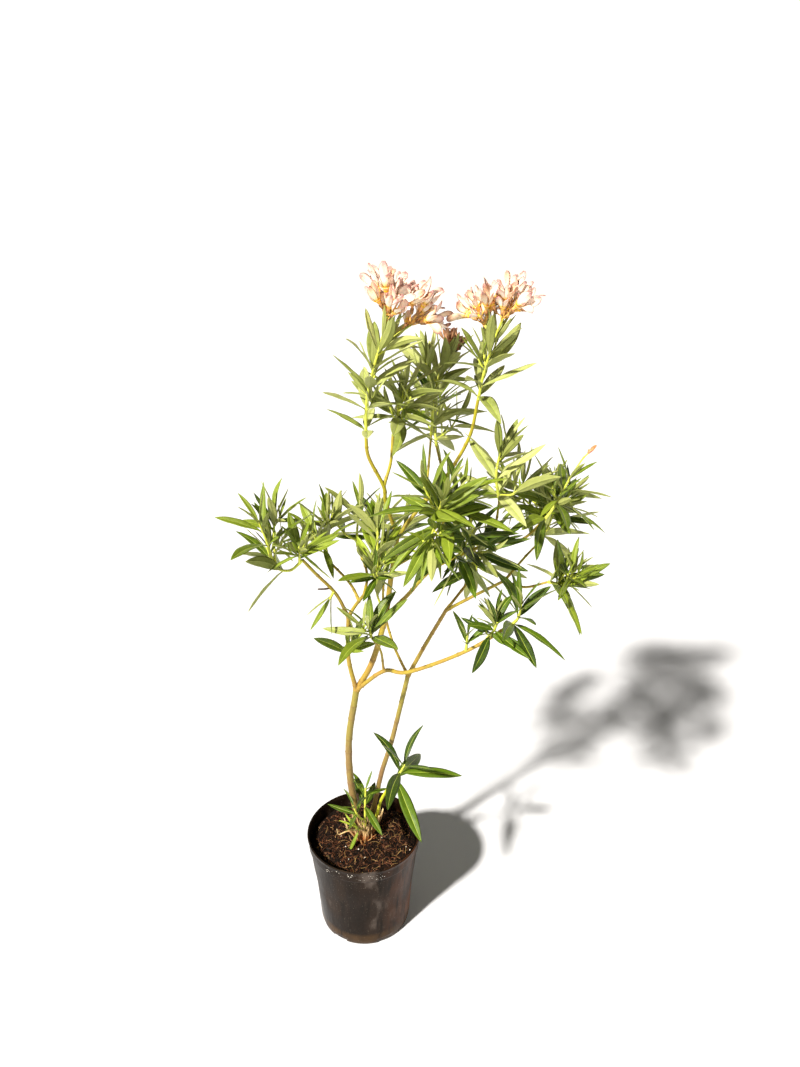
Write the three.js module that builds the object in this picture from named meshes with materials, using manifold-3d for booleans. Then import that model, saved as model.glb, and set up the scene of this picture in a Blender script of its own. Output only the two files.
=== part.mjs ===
// A flowering oleander, about 1.1 m tall, in a round nursery pot.
// Millimetres, +Z up. The origin is the centre of the flat underside of the pot,
// and +Y points to the back of the plant.
import * as THREE from "three";
import { mergeVertices } from "three/addons/utils/BufferGeometryUtils.js";
import Module from "manifold-3d";

const wasm = await Module();
wasm.setup();

// ---------------------------------------------------------------- sizes
const GAP = 0.3;

const POT_HEIGHT = 190;
const RIM_RADIUS = 100;
const BASE_RADIUS = 76;
const WALL = 2;
const FLOOR = 3;
const COLLAR_HEIGHT = 24;
const POT_SEGMENTS = 24;
const DRAIN_COUNT = 6;
const DRAIN_START = 57.5;
const DRAIN_WIDTH = 27;
const DRAIN_HEIGHT = 7;
const DRAIN_DEPTH = 9;

const SOIL_LEVEL = 174;
const SOIL_FLAT_RADIUS = 72;
const SOIL_EDGE_DROP = 3;
const SOIL_CLEARANCE = 0.5;

const STEM_SIDES = 8;
const BOUGH_SIDES = 6;
const LIMB_STEP = 44;
const FOOT_HEIGHT = 30;
const TWIG_SIDES = 4;
const TWIG_RADIUS = 2.1;
const TWIG_STEP = 24;
const TWIG_END_RADIUS = 1.4;
const STALK_RADIUS = 1.1;

const LEAF_LENGTH = 82;
const LEAF_WIDTH_RATIO = 0.21;
const LEAF_THICKNESS = 1.6;
const LEAF_FOLD = 0.14;
const ROOT_DEPTH = 0.6;
const WHORL_LEAVES = 3;
const WHORL_SPACING = [4, 16, 21, 25, 29, 32];
const WHORL_OPENING = [34, 54, 74, 88, 98, 104];
const WHORL_WIDTH = [0.62, 0.9, 1, 1, 1, 1];
const WHORL_SCALE = [0.66, 0.88, 1, 1, 0.96, 0.9];
const LEAF_CLEARANCE = 0.5;
const LEAF_CROWDING = 5;
const BLADE_START = 0.16;
const LEAF_TRIES = 4;
const SHARED_BORDER = 26;

const FLOWER_LENGTH = 52;
const FLOWER_MOUTH_RADIUS = 10;
const FLOWER_TUBE_RADIUS = 2.4;
const FLOWER_HEART = 0.8;
const FLOWER_PETALS = 5;
const BUNCH_OPENING = 62;
const BUD_RADIUS = 2.6;
const GOLDEN_ANGLE = 137.5;

const COLOURS = {
  pot: 0x3a3431,
  soil: 0x4a3022,
  bark: 0xc49a62,
  young_bark: 0xcfae45,
  leaf: 0x5f8a35,
};

// ---------------------------------------------------------------- small tools
const UP = new THREE.Vector3(0, 0, 1);
const DEPTH = new THREE.Vector3(0, 1, 0);
const ACROSS = new THREE.Vector3(1, 0, 0);
const radians = THREE.MathUtils.degToRad;
const vector = ([x, y, z]) => new THREE.Vector3(x, y, z);

// The same run of numbers between 0 and 1 for the same seed.
function seededNumbers(seed) {
  let state = seed;
  return () => {
    state = (state + 0x6d2b79f5) | 0;
    let mixed = Math.imul(state ^ (state >>> 15), 1 | state);
    mixed = (mixed + Math.imul(mixed ^ (mixed >>> 7), 61 | mixed)) ^ mixed;
    return ((mixed ^ (mixed >>> 14)) >>> 0) / 4294967296;
  };
}

function solidFromTriangles(corners, triangles) {
  const geometry = new THREE.BufferGeometry().setFromPoints(corners);
  geometry.setIndex(triangles);
  return solidFromGeometry(geometry);
}

function solidFromGeometry(geometry) {
  const bare = geometry.clone();
  bare.deleteAttribute("normal");
  bare.deleteAttribute("uv");
  const merged = mergeVertices(bare, 1e-4);
  return new wasm.Manifold(
    new wasm.Mesh({
      numProp: 3,
      vertProperties: new Float32Array(merged.attributes.position.array),
      triVerts: new Uint32Array(merged.index.array),
    }),
  );
}

function geometryFromSolid(solid) {
  const mesh = solid.getMesh();
  const geometry = new THREE.BufferGeometry();
  geometry.setAttribute("position", new THREE.BufferAttribute(mesh.vertProperties, 3));
  geometry.setIndex(new THREE.BufferAttribute(mesh.triVerts, 1));
  geometry.computeVertexNormals();
  return geometry;
}

// The largest body of a solid: loose scraps and sealed hollows are left behind.
function largestBody(solid) {
  const bodies = solid.decompose();
  return bodies.reduce((best, body) => (body.volume() > best.volume() ? body : best));
}

function boxesMeet(a, b) {
  const first = a.boundingBox();
  const second = b.boundingBox();
  return [0, 1, 2].every(
    (axis) => first.min[axis] <= second.max[axis] && second.min[axis] <= first.max[axis],
  );
}

const solidsMeet = (a, b) => boxesMeet(a, b) && !a.intersect(b).isEmpty();

// Rings of corners joined into a closed skin. The first and the last ring may be one point.
function skinRings(rings) {
  const corners = rings.flat();
  const starts = [];
  rings.reduce((start, ring) => (starts.push(start), start + ring.length), 0);
  const triangles = [];
  const fan = (start, size, turned) => {
    for (let i = 1; i < size - 1; i++) {
      triangles.push(start, ...(turned ? [start + i + 1, start + i] : [start + i, start + i + 1]));
    }
  };
  for (let k = 0; k + 1 < rings.length; k++) {
    const [a, b] = [starts[k], starts[k + 1]];
    const [na, nb] = [rings[k].length, rings[k + 1].length];
    const sides = Math.max(na, nb);
    for (let i = 0; i < sides; i++) {
      const j = (i + 1) % sides;
      if (na === 1) triangles.push(a, b + j, b + i);
      else if (nb === 1) triangles.push(a + i, a + j, b);
      else triangles.push(a + i, a + j, b + j, a + i, b + j, b + i);
    }
  }
  fan(starts[0], rings[0].length, true);
  fan(starts.at(-1), rings.at(-1).length, false);
  return solidFromTriangles(corners, triangles);
}

// ---------------------------------------------------------------- curves and tubes
const curveThrough = (path) => new THREE.CatmullRomCurve3(path, false, "catmullrom", 0.5);

// A round tube along a curve. radiusAt gives the radius at a distance from the start;
// grown by `extra` on every side, it is the space that a neighbour keeps clear of.
function sweep(curve, radiusAt, stations, sides, extra = 0) {
  const length = curve.getLength();
  const frames = curve.computeFrenetFrames(stations.length - 1);
  let across = frames.normals[0];
  const rings = stations.map((distance, k) => {
    const share = Math.min(1, distance / length);
    const tangent = curve.getTangentAt(share);
    across = across.clone().addScaledVector(tangent, -across.dot(tangent)).normalize();
    const side = new THREE.Vector3().crossVectors(tangent, across);
    const centre = curve.getPointAt(share);
    if (k === 0) centre.addScaledVector(tangent, -extra);
    if (k === stations.length - 1) centre.addScaledVector(tangent, extra);
    const radius = radiusAt(distance) + extra;
    return Array.from({ length: sides }, (_, i) => {
      const angle = (i * 2 * Math.PI) / sides;
      return centre
        .clone()
        .addScaledVector(across, radius * Math.cos(angle))
        .addScaledVector(side, radius * Math.sin(angle));
    });
  });
  return skinRings(rings);
}

function evenStations(length, step) {
  const count = Math.max(1, Math.round(length / step));
  return Array.from({ length: count + 1 }, (_, i) => (length * i) / count);
}

// ---------------------------------------------------------------- limbs
// The forks and nodes that several limbs share.
const FORK = [-6, -20, 497];
const LEFT_FORK = [-14, -40, 641];
const UPPER_FORK = [60, -20, 764];
const TOP_LEFT_FORK = [41, -40, 850];
const RIGHT_STEM_FORK = [77, 30, 491];
const RIGHT_FORK = [137, 20, 620];
const RIGHT_LOW_NODE = [221, -20, 692];
const GOLD_NODE = [201, -31, 761];
const FOOT = SOIL_LEVEL + GAP;

// Each limb: its name, the points its middle line runs through from its root to its tip, its
// radius at the root and at the tip, and the flare of its foot where it stands on the soil.
const limb = (name, path, radii, flare = 0) => ({ name, path, radii, flare });

const LIMBS = [
  limb("stem_left", [[-6, 16, FOOT], [-20, 4, 280], [-21, -10, 389], FORK], [6.4, 5.2], 4.5),
  limb("stem_right", [[12, 52, FOOT], [32, 44, 282], [50, 40, 353], RIGHT_STEM_FORK], [4.4, 3.9], 2.5),
  limb("stem_sucker", [[18, 26, FOOT], [31, 8, 249], [56, -20, 320]], [2.8, 2.3], 1.5),
  limb("bough_main", [FORK, [20, -20, 549], [41, -20, 628], [50, -20, 693], UPPER_FORK], [4.9, 3.7]),
  limb("bough_left", [FORK, [-16, -33, 565], LEFT_FORK], [3.7, 3.1]),
  limb("bough_cross", [FORK, [39, -50, 552], [77, -85, 573], [158, -115, 627], [221, -120, 674]],
    [3.4, 2.4]),
  limb("bough_left_outer", [LEFT_FORK, [-30, -52, 686], [-57, -72, 730], [-72, -86, 757]], [2.7, 2.2]),
  limb("bough_left_front", [LEFT_FORK, [0, -52, 670], [24, -76, 712]], [2.8, 2.2]),
  limb("bough_left_mid", [[4, -56, 677], [-11, -30, 693], [-44, 15, 707]], [2.2, 1.9]),
  limb("bough_left_back", [[12, -64, 691], [14, -10, 700], [-3, 50, 718]], [2.2, 1.9]),
  limb("bough_low", [[39, -50, 552], [35, -62, 595], [22, -78, 628]], [1.9, 1.6]),
  limb("bough_gold", [[42, -20, 632], [74, -35, 674], [107, -55, 725], [150, -50, 748], GOLD_NODE],
    [3.2, 2.5]),
  limb("bough_front", [[56, -20, 735], [81, -50, 764], [117, -115, 822]], [2, 1.7]),
  limb("bough_front_right", [[52, -20, 712], [100, -60, 766], [132, -90, 831]], [1.9, 1.6]),
  limb("bough_top_left", [UPPER_FORK, [44, -34, 823], TOP_LEFT_FORK, [21, -50, 896], [18, -56, 928]],
    [3, 2.3]),
  limb("bough_top_mid", [TOP_LEFT_FORK, [51, -30, 882], [54, -24, 918]], [2.3, 2]),
  limb("bough_top_right", [UPPER_FORK, [90, -8, 802], [128, 2, 845], [161, -10, 911], [171, -20, 968]],
    [3.2, 2.2]),
  limb("bough_centre", [[100, -4, 812], [106, 30, 851], [110, 45, 900]], [1.9, 1.7]),
  limb("bough_rear_top", [[128, 2, 845], [125, 60, 853], [121, 110, 863]], [2, 1.7]),
  limb("bough_right", [RIGHT_STEM_FORK, [105, 30, 550], RIGHT_FORK], [3.5, 3]),
  limb("bough_rear", [RIGHT_STEM_FORK, [51, 50, 546], [36, 80, 606], [42, 110, 666]], [2.4, 1.8]),
  limb("bough_right_low", [RIGHT_FORK, [178, 0, 656], RIGHT_LOW_NODE], [2.7, 2.2]),
  limb("bough_right_back", [RIGHT_FORK, [163, 40, 646], [183, 60, 664]], [2.4, 2]),
  limb("bough_right_far", [RIGHT_LOW_NODE, [253, 0, 722], [277, 20, 738]], [1.9, 1.6]),
  limb("bough_right_tip", [RIGHT_LOW_NODE, [248, -45, 694], [279, -60, 710]], [1.9, 1.6]),
  limb("bough_gold_back", [GOLD_NODE, [234, 10, 762], [276, 50, 774]], [2, 1.6]),
  limb("bough_gold_far", [GOLD_NODE, [239, -40, 768], [268, -42, 797]], [2.2, 1.9]),
  limb("bough_gold_up", [GOLD_NODE, [202, -45, 807], [203, -52, 834]], [1.9, 1.6]),
];

function limbStations(length, flare) {
  if (!flare) return evenStations(length, LIMB_STEP);
  const rest = evenStations(length - FOOT_HEIGHT, LIMB_STEP * 1.4);
  return [0, FOOT_HEIGHT * 0.3, ...rest.map((distance) => distance + FOOT_HEIGHT)];
}

function limbTube({ path, radii, flare }, extra = 0) {
  const curve = curveThrough(path.map(vector));
  const length = curve.getLength();
  const radiusAt = (distance) => {
    const spread = Math.max(0, 1 - distance / FOOT_HEIGHT);
    return THREE.MathUtils.lerp(radii[0], radii[1], distance / length) + flare * spread * spread;
  };
  const sides = flare ? STEM_SIDES : BOUGH_SIDES;
  const tube = sweep(curve, radiusAt, limbStations(length, flare), sides, extra);
  return flare ? tube.trimByPlane([0, 0, 1], FOOT - extra) : tube;
}

// Each limb is cut clear of the limbs before it, so that it meets the one it grows from.
function buildLimbs() {
  const built = [];
  for (const limb of LIMBS) {
    const whole = limbTube(limb);
    const clear = built
      .filter((other) => boxesMeet(whole, other.space))
      .reduce((rest, other) => rest.subtract(other.space), whole);
    built.push({ name: limb.name, solid: largestBody(clear), space: limbTube(limb, GAP) });
  }
  return built;
}

// ---------------------------------------------------------------- foliage plan
// Each mass grows from one shoot that goes on from a limb. A shoot is the list of points it
// runs through and its number of leaf whorls; a side shoot leaves the first shoot part way up.
// `sprigs` small leafy twigs are added by the seeded rule. `leaf` is the length of the leaves,
// where it isn't the usual one, and `spread` how far they open from the shoot.
const lead = (path, whorls, more = {}) => ({ path, whorls, ...more });
const side = (at, path, whorls, more = {}) => ({ at, path, whorls, ...more });

const MASSES = [
  { name: "foliage_left_outer", seed: 171, sprigs: 0, spread: 0.8, shoots: [
    lead([[-72, -86, 757], [-91, -86, 741], [-112, -83, 746], [-122, -80, 774]], 3),
    side(0.62, [[-120, -92, 790], [-128, -98, 822]], 3),
    side(0.6, [[-113, -68, 790], [-109, -60, 820]], 2),
    side(0.08, [[-74, -100, 784]], 2)] },
  { name: "foliage_left_mid", seed: 44, sprigs: 0, spread: 0.8, shoots: [
    lead([[-44, 15, 707], [-50, 26, 730], [-47, 38, 776]], 3),
    side(0.25, [[-60, 12, 740], [-68, 5, 762]], 2),
    side(0.5, [[-38, 52, 766]], 2)] },
  { name: "foliage_left_front", seed: 78, sprigs: 0, leaf: 92, spread: 0.8, shoots: [
    lead([[24, -76, 712], [31, -82, 724], [32, -78, 763], [33, -70, 800]], 4)] },
  { name: "foliage_left_back", seed: 76, sprigs: 0, leaf: 92, shoots: [
    lead([[-3, 50, 718], [-4, 72, 738], [0, 90, 770]], 3),
    side(0.15, [[-21, 60, 733], [-37, 70, 748]], 2)] },
  { name: "foliage_left_low", seed: 59, sprigs: 0, leaf: 81, spread: 0.8, shoots: [
    lead([[-16, -33, 571], [-13, -50, 592]], 3)] },
  { name: "foliage_left_spur", seed: 24, sprigs: 0, shoots: [
    lead([[-33, -54, 692], [-39, -63, 683]], 1)] },
  { name: "foliage_centre_low", seed: 4, sprigs: 0, leaf: 92, spread: 0.8, shoots: [
    lead([[22, -78, 628], [18, -84, 652]], 3)] },
  { name: "foliage_centre", seed: 84, sprigs: 0, leaf: 92, shoots: [
    lead([[42, -20, 634], [31, 2, 648], [25, 6, 674]], 2)] },
  { name: "foliage_cross_node", seed: 175, sprigs: 0, leaf: 58, spread: 0.8, shoots: [
    lead([[158, -115, 628], [159, -127, 664]], 2)] },
  { name: "foliage_cross_side", seed: 123, sprigs: 0, leaf: 74, shoots: [
    lead([[187, -118, 650], [194, -135, 673], [197, -144, 690]], 3)] },
  { name: "foliage_cross_tip", seed: 5, sprigs: 0, leaf: 92, spread: 0.8, shoots: [
    lead([[221, -120, 674], [228, -124, 686], [230, -130, 706]], 4)] },
  { name: "foliage_right_back", seed: 74, sprigs: 0, leaf: 92, spread: 1.2, shoots: [
    lead([[183, 60, 664], [193, 72, 690], [200, 84, 720]], 4),
    side(0.2, [[171, 75, 689], [162, 96, 718]], 2)] },
  { name: "foliage_right_far", seed: 42, sprigs: 1, leaf: 92, shoots: [
    lead([[277, 20, 738], [289, 30, 755], [299, 46, 774]], 3)] },
  { name: "foliage_right_tip", seed: 60, sprigs: 0, spread: 0.8, shoots: [
    lead([[279, -60, 710], [294, -72, 713], [304, -84, 722], [307, -88, 742]], 4),
    side(0.3, [[296, -58, 716], [306, -48, 722]], 2)] },
  { name: "foliage_gold_back", seed: 63, sprigs: 0, leaf: 92, spread: 1.2, shoots: [
    lead([[276, 50, 774], [291, 62, 792], [298, 76, 814]], 2),
    side(0.2, [[269, 80, 787], [259, 100, 806]], 2),
    side(0.05, [[250, 60, 800], [240, 64, 822]], 2)] },
  { name: "foliage_gold_far", seed: 88, sprigs: 0, spread: 1.2, shoots: [
    lead([[268, -42, 797], [280, -40, 814], [294, -36, 841], [304, -34, 862]], 5),
    side(0.93, [[319, -28, 885], [330, -25, 896]], 0, { bud: 18 })] },
  { name: "foliage_gold_up", seed: 73, sprigs: 0, leaf: 92, spread: 0.8, shoots: [
    lead([[203, -52, 834], [196, -58, 870], [199, -61, 906]], 4),
    side(0.1, [[222, -50, 842], [238, -44, 856]], 2)] },
  { name: "foliage_front", seed: 8, sprigs: 1, leaf: 92, spread: 0.8, shoots: [
    lead([[117, -115, 822], [108, -125, 850], [95, -131, 882]], 5),
    side(0.02, [[108, -140, 826], [104, -158, 822]], 2)] },
  { name: "foliage_front_right", seed: 53, sprigs: 0, shoots: [
    lead([[132, -90, 831], [140, -97, 852], [148, -101, 872]], 4)] },
  { name: "foliage_gold", seed: 42, sprigs: 1, leaf: 92, spread: 0.8, shoots: [
    lead([[150, -50, 749], [160, -62, 778], [168, -72, 800]], 3),
    side(0.15, [[170, -76, 764], [188, -88, 772]], 2),
    side(0.12, [[146, -80, 762], [140, -100, 768]], 2)] },
  { name: "foliage_top_left", seed: 65, sprigs: 0, spread: 0.6, shoots: [
    lead([[18, -56, 928], [20, -62, 975], [29, -66, 1018], [42, -64, 1060]], 6),
    side(0.93, [[45, -63, 1074], [48, -62, 1087]], 0, { flowers: 8 }),
    side(0.9, [[60, -56, 1062], [78, -50, 1073]], 0, { flowers: 5 })] },
  { name: "foliage_top_mid", seed: 56, sprigs: 1, leaf: 92, spread: 1.2, shoots: [
    lead([[54, -24, 918], [64, -14, 954], [72, -6, 982]], 3)] },
  { name: "foliage_top_right", seed: 66, sprigs: 0, spread: 0.6, shoots: [
    lead([[171, -20, 968], [177, -27, 1008], [187, -33, 1050]], 5),
    side(0.9, [[181, -28, 1057], [176, -22, 1070]], 0, { flowers: 5 }),
    side(0.93, [[192, -34, 1064], [198, -34, 1080]], 0, { flowers: 6 })] },
  { name: "foliage_centre_top", seed: 69, sprigs: 1, spread: 0.6, shoots: [
    lead([[110, 45, 900], [114, 51, 955], [124, 52, 1004]], 4),
    side(0.93, [[128, 54, 1012], [132, 55, 1020]], 0, { flowers: 6, flower: 0.6 })] },
  { name: "foliage_rear", seed: 1, sprigs: 0, leaf: 92, shoots: [
    lead([[42, 110, 666], [38, 122, 700], [40, 130, 738]], 3),
    side(0.15, [[60, 134, 696], [72, 148, 716]], 2)] },
  { name: "foliage_rear_top", seed: 30, sprigs: 1, leaf: 92, spread: 1.2, shoots: [
    lead([[121, 110, 863], [118, 124, 890], [112, 132, 922]], 3),
    side(0.15, [[142, 130, 884], [156, 142, 902]], 2)] },
  { name: "foliage_sucker", seed: 208, sprigs: 0, leaf: 110, spread: 1.3, shoots: [
    lead([[56, -20, 320], [64, -27, 338], [72, -31, 358]], 3)] },
  { name: "foliage_basal", seed: 99, sprigs: 0, leaf: 58, spread: 1.2, shoots: [
    lead([[4, -5, FOOT], [3, -7, 235], [5, -9, 290]], 3),
    side(0.35, [[-9, -12, 232], [-17, -14, 256]], 2)] },
];

const SPRIG_LENGTH = [22, 40];
const SPRIG_ANGLE = [35, 60];

// A unit direction square to an axis, turned by an angle about it.
function squareTo(axis, angle) {
  const reference = Math.abs(axis.dot(DEPTH)) > 0.9 ? ACROSS : DEPTH;
  const first = reference.clone().addScaledVector(axis, -axis.dot(reference)).normalize();
  const second = new THREE.Vector3().crossVectors(axis, first);
  return first.multiplyScalar(Math.cos(angle)).addScaledVector(second, Math.sin(angle));
}

// The curves of a mass: its lead, its side shoots, and the sprigs of the seeded rule.
function shootsOf(mass, random) {
  const [first, ...others] = mass.shoots;
  const leadCurve = curveThrough(first.path.map(vector));
  const shoots = [{ ...first, curve: leadCurve, start: TWIG_RADIUS }];
  for (const shoot of others) {
    const root = leadCurve.getPointAt(shoot.at);
    const curve = curveThrough([root, ...shoot.path.map(vector)]);
    shoots.push({ ...shoot, curve, start: shoot.whorls ? TWIG_RADIUS * 0.85 : STALK_RADIUS * 1.3 });
  }
  for (let i = 0; i < mass.sprigs; i++) {
    const share = 0.25 + 0.6 * random();
    const turn = 2 * Math.PI * random();
    const open = radians(THREE.MathUtils.lerp(...SPRIG_ANGLE, random()));
    const length = THREE.MathUtils.lerp(...SPRIG_LENGTH, random());
    const root = leadCurve.getPointAt(share);
    const axis = leadCurve.getTangentAt(share);
    const heading = axis.clone().multiplyScalar(Math.cos(open));
    heading.addScaledVector(squareTo(axis, turn), Math.sin(open));
    const bend = root.clone().addScaledVector(heading, length * 0.5);
    const tip = bend.clone().addScaledVector(heading.clone().add(UP).normalize(), length * 0.5);
    shoots.push({ whorls: 2, curve: curveThrough([root, bend, tip]), start: TWIG_RADIUS * 0.75 });
  }
  return shoots;
}

// ---------------------------------------------------------------- leaves
// The leaves of a shoot stand in whorls of three, each whorl turned half a step from the
// next. Towards the tip they are shorter and more upright.
function leafPlaces(shoot, leafLength, spread, random) {
  const places = [];
  const length = shoot.curve.getLength();
  let fromTip = 0;
  const turn = 2 * Math.PI * random();
  for (let whorl = 0; whorl < shoot.whorls; whorl++) {
    fromTip += WHORL_SPACING[whorl] * (0.9 + 0.2 * random());
    const share = Math.max(0.06, 1 - fromTip / length);
    const base = shoot.curve.getPointAt(share);
    const axis = shoot.curve.getTangentAt(share);
    for (let i = 0; i < WHORL_LEAVES; i++) {
      const around = turn + (Math.PI / WHORL_LEAVES) * whorl + ((2 * Math.PI) / WHORL_LEAVES) * i;
      places.push({
        base,
        axis,
        around: around + 0.3 * (random() - 0.5),
        opening: radians(WHORL_OPENING[whorl] * spread + 14 * (random() - 0.5)),
        length: leafLength * WHORL_SCALE[whorl] * (0.88 + 0.24 * random()),
        slimness: WHORL_WIDTH[whorl],
        droop: 0.05 + 0.24 * random() * (whorl / 3 + 0.3),
      });
    }
  }
  return places;
}

// The line of a leaf's middle rib: it sets out along its heading and sinks by its droop.
function leafFrame({ base, axis, around, opening, length, slimness, droop }) {
  const outward = squareTo(axis, around);
  const heading = axis.clone().multiplyScalar(Math.cos(opening));
  heading.addScaledVector(outward, Math.sin(opening));
  const face = axis.clone().addScaledVector(heading, -axis.dot(heading)).normalize();
  const across = new THREE.Vector3().crossVectors(heading, face);
  const root = base.clone().addScaledVector(heading, -ROOT_DEPTH);
  const at = (share) =>
    root
      .clone()
      .addScaledVector(heading, share * length)
      .addScaledVector(UP, -droop * share * share * length);
  return { at, face, across, length, width: length * slimness * LEAF_WIDTH_RATIO };
}

// A leaf: a folded blade with a keel under its middle rib, widest near its middle.
function leafSolid({ at, face, across, length, width }, extra = 0, start = 0) {
  const section = (share, half, thick) => {
    const middle = at(share);
    const edge = (way) =>
      middle
        .clone()
        .addScaledVector(across, way * (half + extra))
        .addScaledVector(face, half * LEAF_FOLD * 2 + extra);
    return [edge(1), middle.clone().addScaledVector(face, -thick - extra), edge(-1)];
  };
  return skinRings([
    [at(start)],
    section(0.3, width * 0.46, LEAF_THICKNESS),
    section(0.68, width * 0.42, LEAF_THICKNESS * 0.8),
    [at(1 + extra / length)],
  ]);
}

const CROWDING_SHARES = [0.4, 0.65, 0.9];
const SHOOT_SAMPLES = 6;

const sampleShoot = ({ curve }) =>
  Array.from({ length: SHOOT_SAMPLES + 1 }, (_, i) => curve.getPointAt(i / SHOOT_SAMPLES));

const nearest = (point, others) => Math.min(...others.map((other) => point.distanceTo(other)));

// ---------------------------------------------------------------- flowers
// A ring of corners round a point on a flower's own axis.
function flowerRing(base, heading, distance, radius) {
  return Array.from({ length: FLOWER_PETALS }, (_, i) =>
    base
      .clone()
      .addScaledVector(heading, distance)
      .addScaledVector(squareTo(heading, (i * 2 * Math.PI) / FLOWER_PETALS), radius),
  );
}

// A funnel flower on its stalk: a slim tube that opens into a sunk, five-sided mouth.
function flowerSolid(root, heading, length, mouth) {
  const heart = root.clone().addScaledVector(heading, length * FLOWER_HEART);
  return skinRings([
    [root],
    flowerRing(root, heading, length * 0.55, FLOWER_TUBE_RADIUS),
    flowerRing(root, heading, length, mouth),
    [heart],
  ]);
}

// A closed bud: a slim spindle.
function budSolid(root, heading, length) {
  const tip = root.clone().addScaledVector(heading, length);
  return skinRings([[root], flowerRing(root, heading, length * 0.55, BUD_RADIUS), [tip]]);
}

// A bunch of flowers that fan out from the tip of a shoot and turn upwards.
function bunch({ curve, flowers, flower = 1 }, random) {
  const tip = curve.getPointAt(1);
  const axis = curve.getTangentAt(1);
  return Array.from({ length: flowers }, (_, i) => {
    const open = radians(BUNCH_OPENING * Math.sqrt(i / flowers) + 8 * random());
    const around = radians(GOLDEN_ANGLE * i + 20 * random());
    const heading = axis.clone().multiplyScalar(Math.cos(open));
    heading.addScaledVector(squareTo(axis, around), Math.sin(open)).addScaledVector(UP, 0.3).normalize();
    const root = tip.clone().addScaledVector(heading, -ROOT_DEPTH);
    const length = FLOWER_LENGTH * flower * (0.8 + 0.35 * random());
    return flowerSolid(root, heading, length, FLOWER_MOUTH_RADIUS * flower * (0.8 + 0.4 * random()));
  });
}

// ---------------------------------------------------------------- masses
function twigTube({ curve, start, bud }) {
  const length = curve.getLength();
  const end = bud ? STALK_RADIUS : TWIG_END_RADIUS;
  const radiusAt = (distance) => THREE.MathUtils.lerp(start, end, distance / length);
  return sweep(curve, radiusAt, evenStations(length, TWIG_STEP), TWIG_SIDES);
}

// The same place, turned about its shoot and opened a little more or less.
const turnedPlace = (place, turn) => ({
  ...place,
  around: place.around + 0.9 * turn,
  opening: place.opening + 0.12 * turn,
});

// All twigs come first, so that every leaf can keep clear of them. A leaf is tried a few
// times, turned a little each time, and left out where it would touch a limb or another
// mass, stray into another mass's space, or crowd a leaf that is there.
function buildMasses(limbs) {
  const limbSpaces = limbs.map((limb) => limb.space);
  const masses = MASSES.map((mass) => {
    const random = seededNumbers(mass.seed);
    const shoots = shootsOf(mass, random);
    const parts = shoots.map(twigTube);
    shoots.filter((shoot) => shoot.flowers).forEach((shoot) => parts.push(...bunch(shoot, random)));
    shoots.filter((shoot) => shoot.bud).forEach(({ curve, bud }) => {
      parts.push(budSolid(curve.getPointAt(0.9), curve.getTangentAt(1), bud));
    });
    const samples = shoots.flatMap(sampleShoot);
    return { mass, random, shoots, parts, samples, leafSolids: [], blades: [] };
  });
  const ribs = [];
  for (const own of masses) {
    const others = masses.filter((other) => other !== own);
    const foreign = others.flatMap((other) => other.samples);
    const fits = (frame) => {
      const tip = frame.at(1);
      if (nearest(tip, own.samples) > nearest(tip, foreign) + SHARED_BORDER) return false;
      const rib = CROWDING_SHARES.map(frame.at);
      if (rib.some((point) => ribs.some((other) => point.distanceTo(other) < LEAF_CROWDING))) {
        return false;
      }
      const blade = leafSolid(frame, LEAF_CLEARANCE, BLADE_START);
      if (own.blades.some((other) => solidsMeet(blade, other))) return false;
      if (own.parts.some((part) => solidsMeet(blade, part))) return false;
      const space = leafSolid(frame, LEAF_CLEARANCE);
      if (limbSpaces.some((limb) => solidsMeet(space, limb))) return false;
      return !others.some((other) =>
        [...other.parts, ...other.leafSolids].some((part) => solidsMeet(space, part)),
      );
    };
    const { leaf = LEAF_LENGTH, spread = 1 } = own.mass;
    for (const shoot of own.shoots) {
      for (const place of leafPlaces(shoot, leaf, spread, own.random)) {
        const turns = Array.from({ length: LEAF_TRIES }, (_, i) => i * (own.random() - 0.5));
        const frame = turns.map((turn) => leafFrame(turnedPlace(place, turn))).find(fits);
        if (!frame) continue;
        ribs.push(...CROWDING_SHARES.map(frame.at));
        own.leafSolids.push(leafSolid(frame));
        own.blades.push(leafSolid(frame, 0, BLADE_START));
      }
    }
  }
  return masses.map(({ mass, parts, leafSolids }) => {
    const fused = [...parts, ...leafSolids].reduce((whole, part) => whole.add(part));
    const clear = limbSpaces
      .filter((space) => boxesMeet(fused, space))
      .reduce((rest, space) => rest.subtract(space), fused);
    return { name: mass.name, solid: largestBody(clear), leaves: leafSolids.length };
  });
}

// ---------------------------------------------------------------- pot and soil
// Half the outline of the pot, from its lower edge to its lip.
const POT_OUTLINE = [
  [BASE_RADIUS, 0],
  [79.5, 3],
  [82, 24],
  [86, 83],
  [91, 122],
  [95, POT_HEIGHT - COLLAR_HEIGHT - 1],
  [97.5, POT_HEIGHT - COLLAR_HEIGHT + 1],
  [RIM_RADIUS - 1, POT_HEIGHT - 3],
  [RIM_RADIUS, POT_HEIGHT - 1.5],
  [RIM_RADIUS - 1, POT_HEIGHT],
];

// The inner face, from the floor to the lip. It runs straight between the turns of the wall.
const POT_INSIDE = [
  [BASE_RADIUS + 1, FLOOR],
  [82 - WALL, 24],
  [91 - WALL, 122],
  [95 - WALL, POT_HEIGHT - COLLAR_HEIGHT],
  [RIM_RADIUS - 1 - WALL, POT_HEIGHT],
];

const latheSolid = (points) => {
  const profile = points.map(([radius, height]) => new THREE.Vector2(radius, height));
  const geometry = new THREE.LatheGeometry(profile, POT_SEGMENTS);
  geometry.rotateX(Math.PI / 2);
  return solidFromGeometry(geometry);
};

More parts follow.
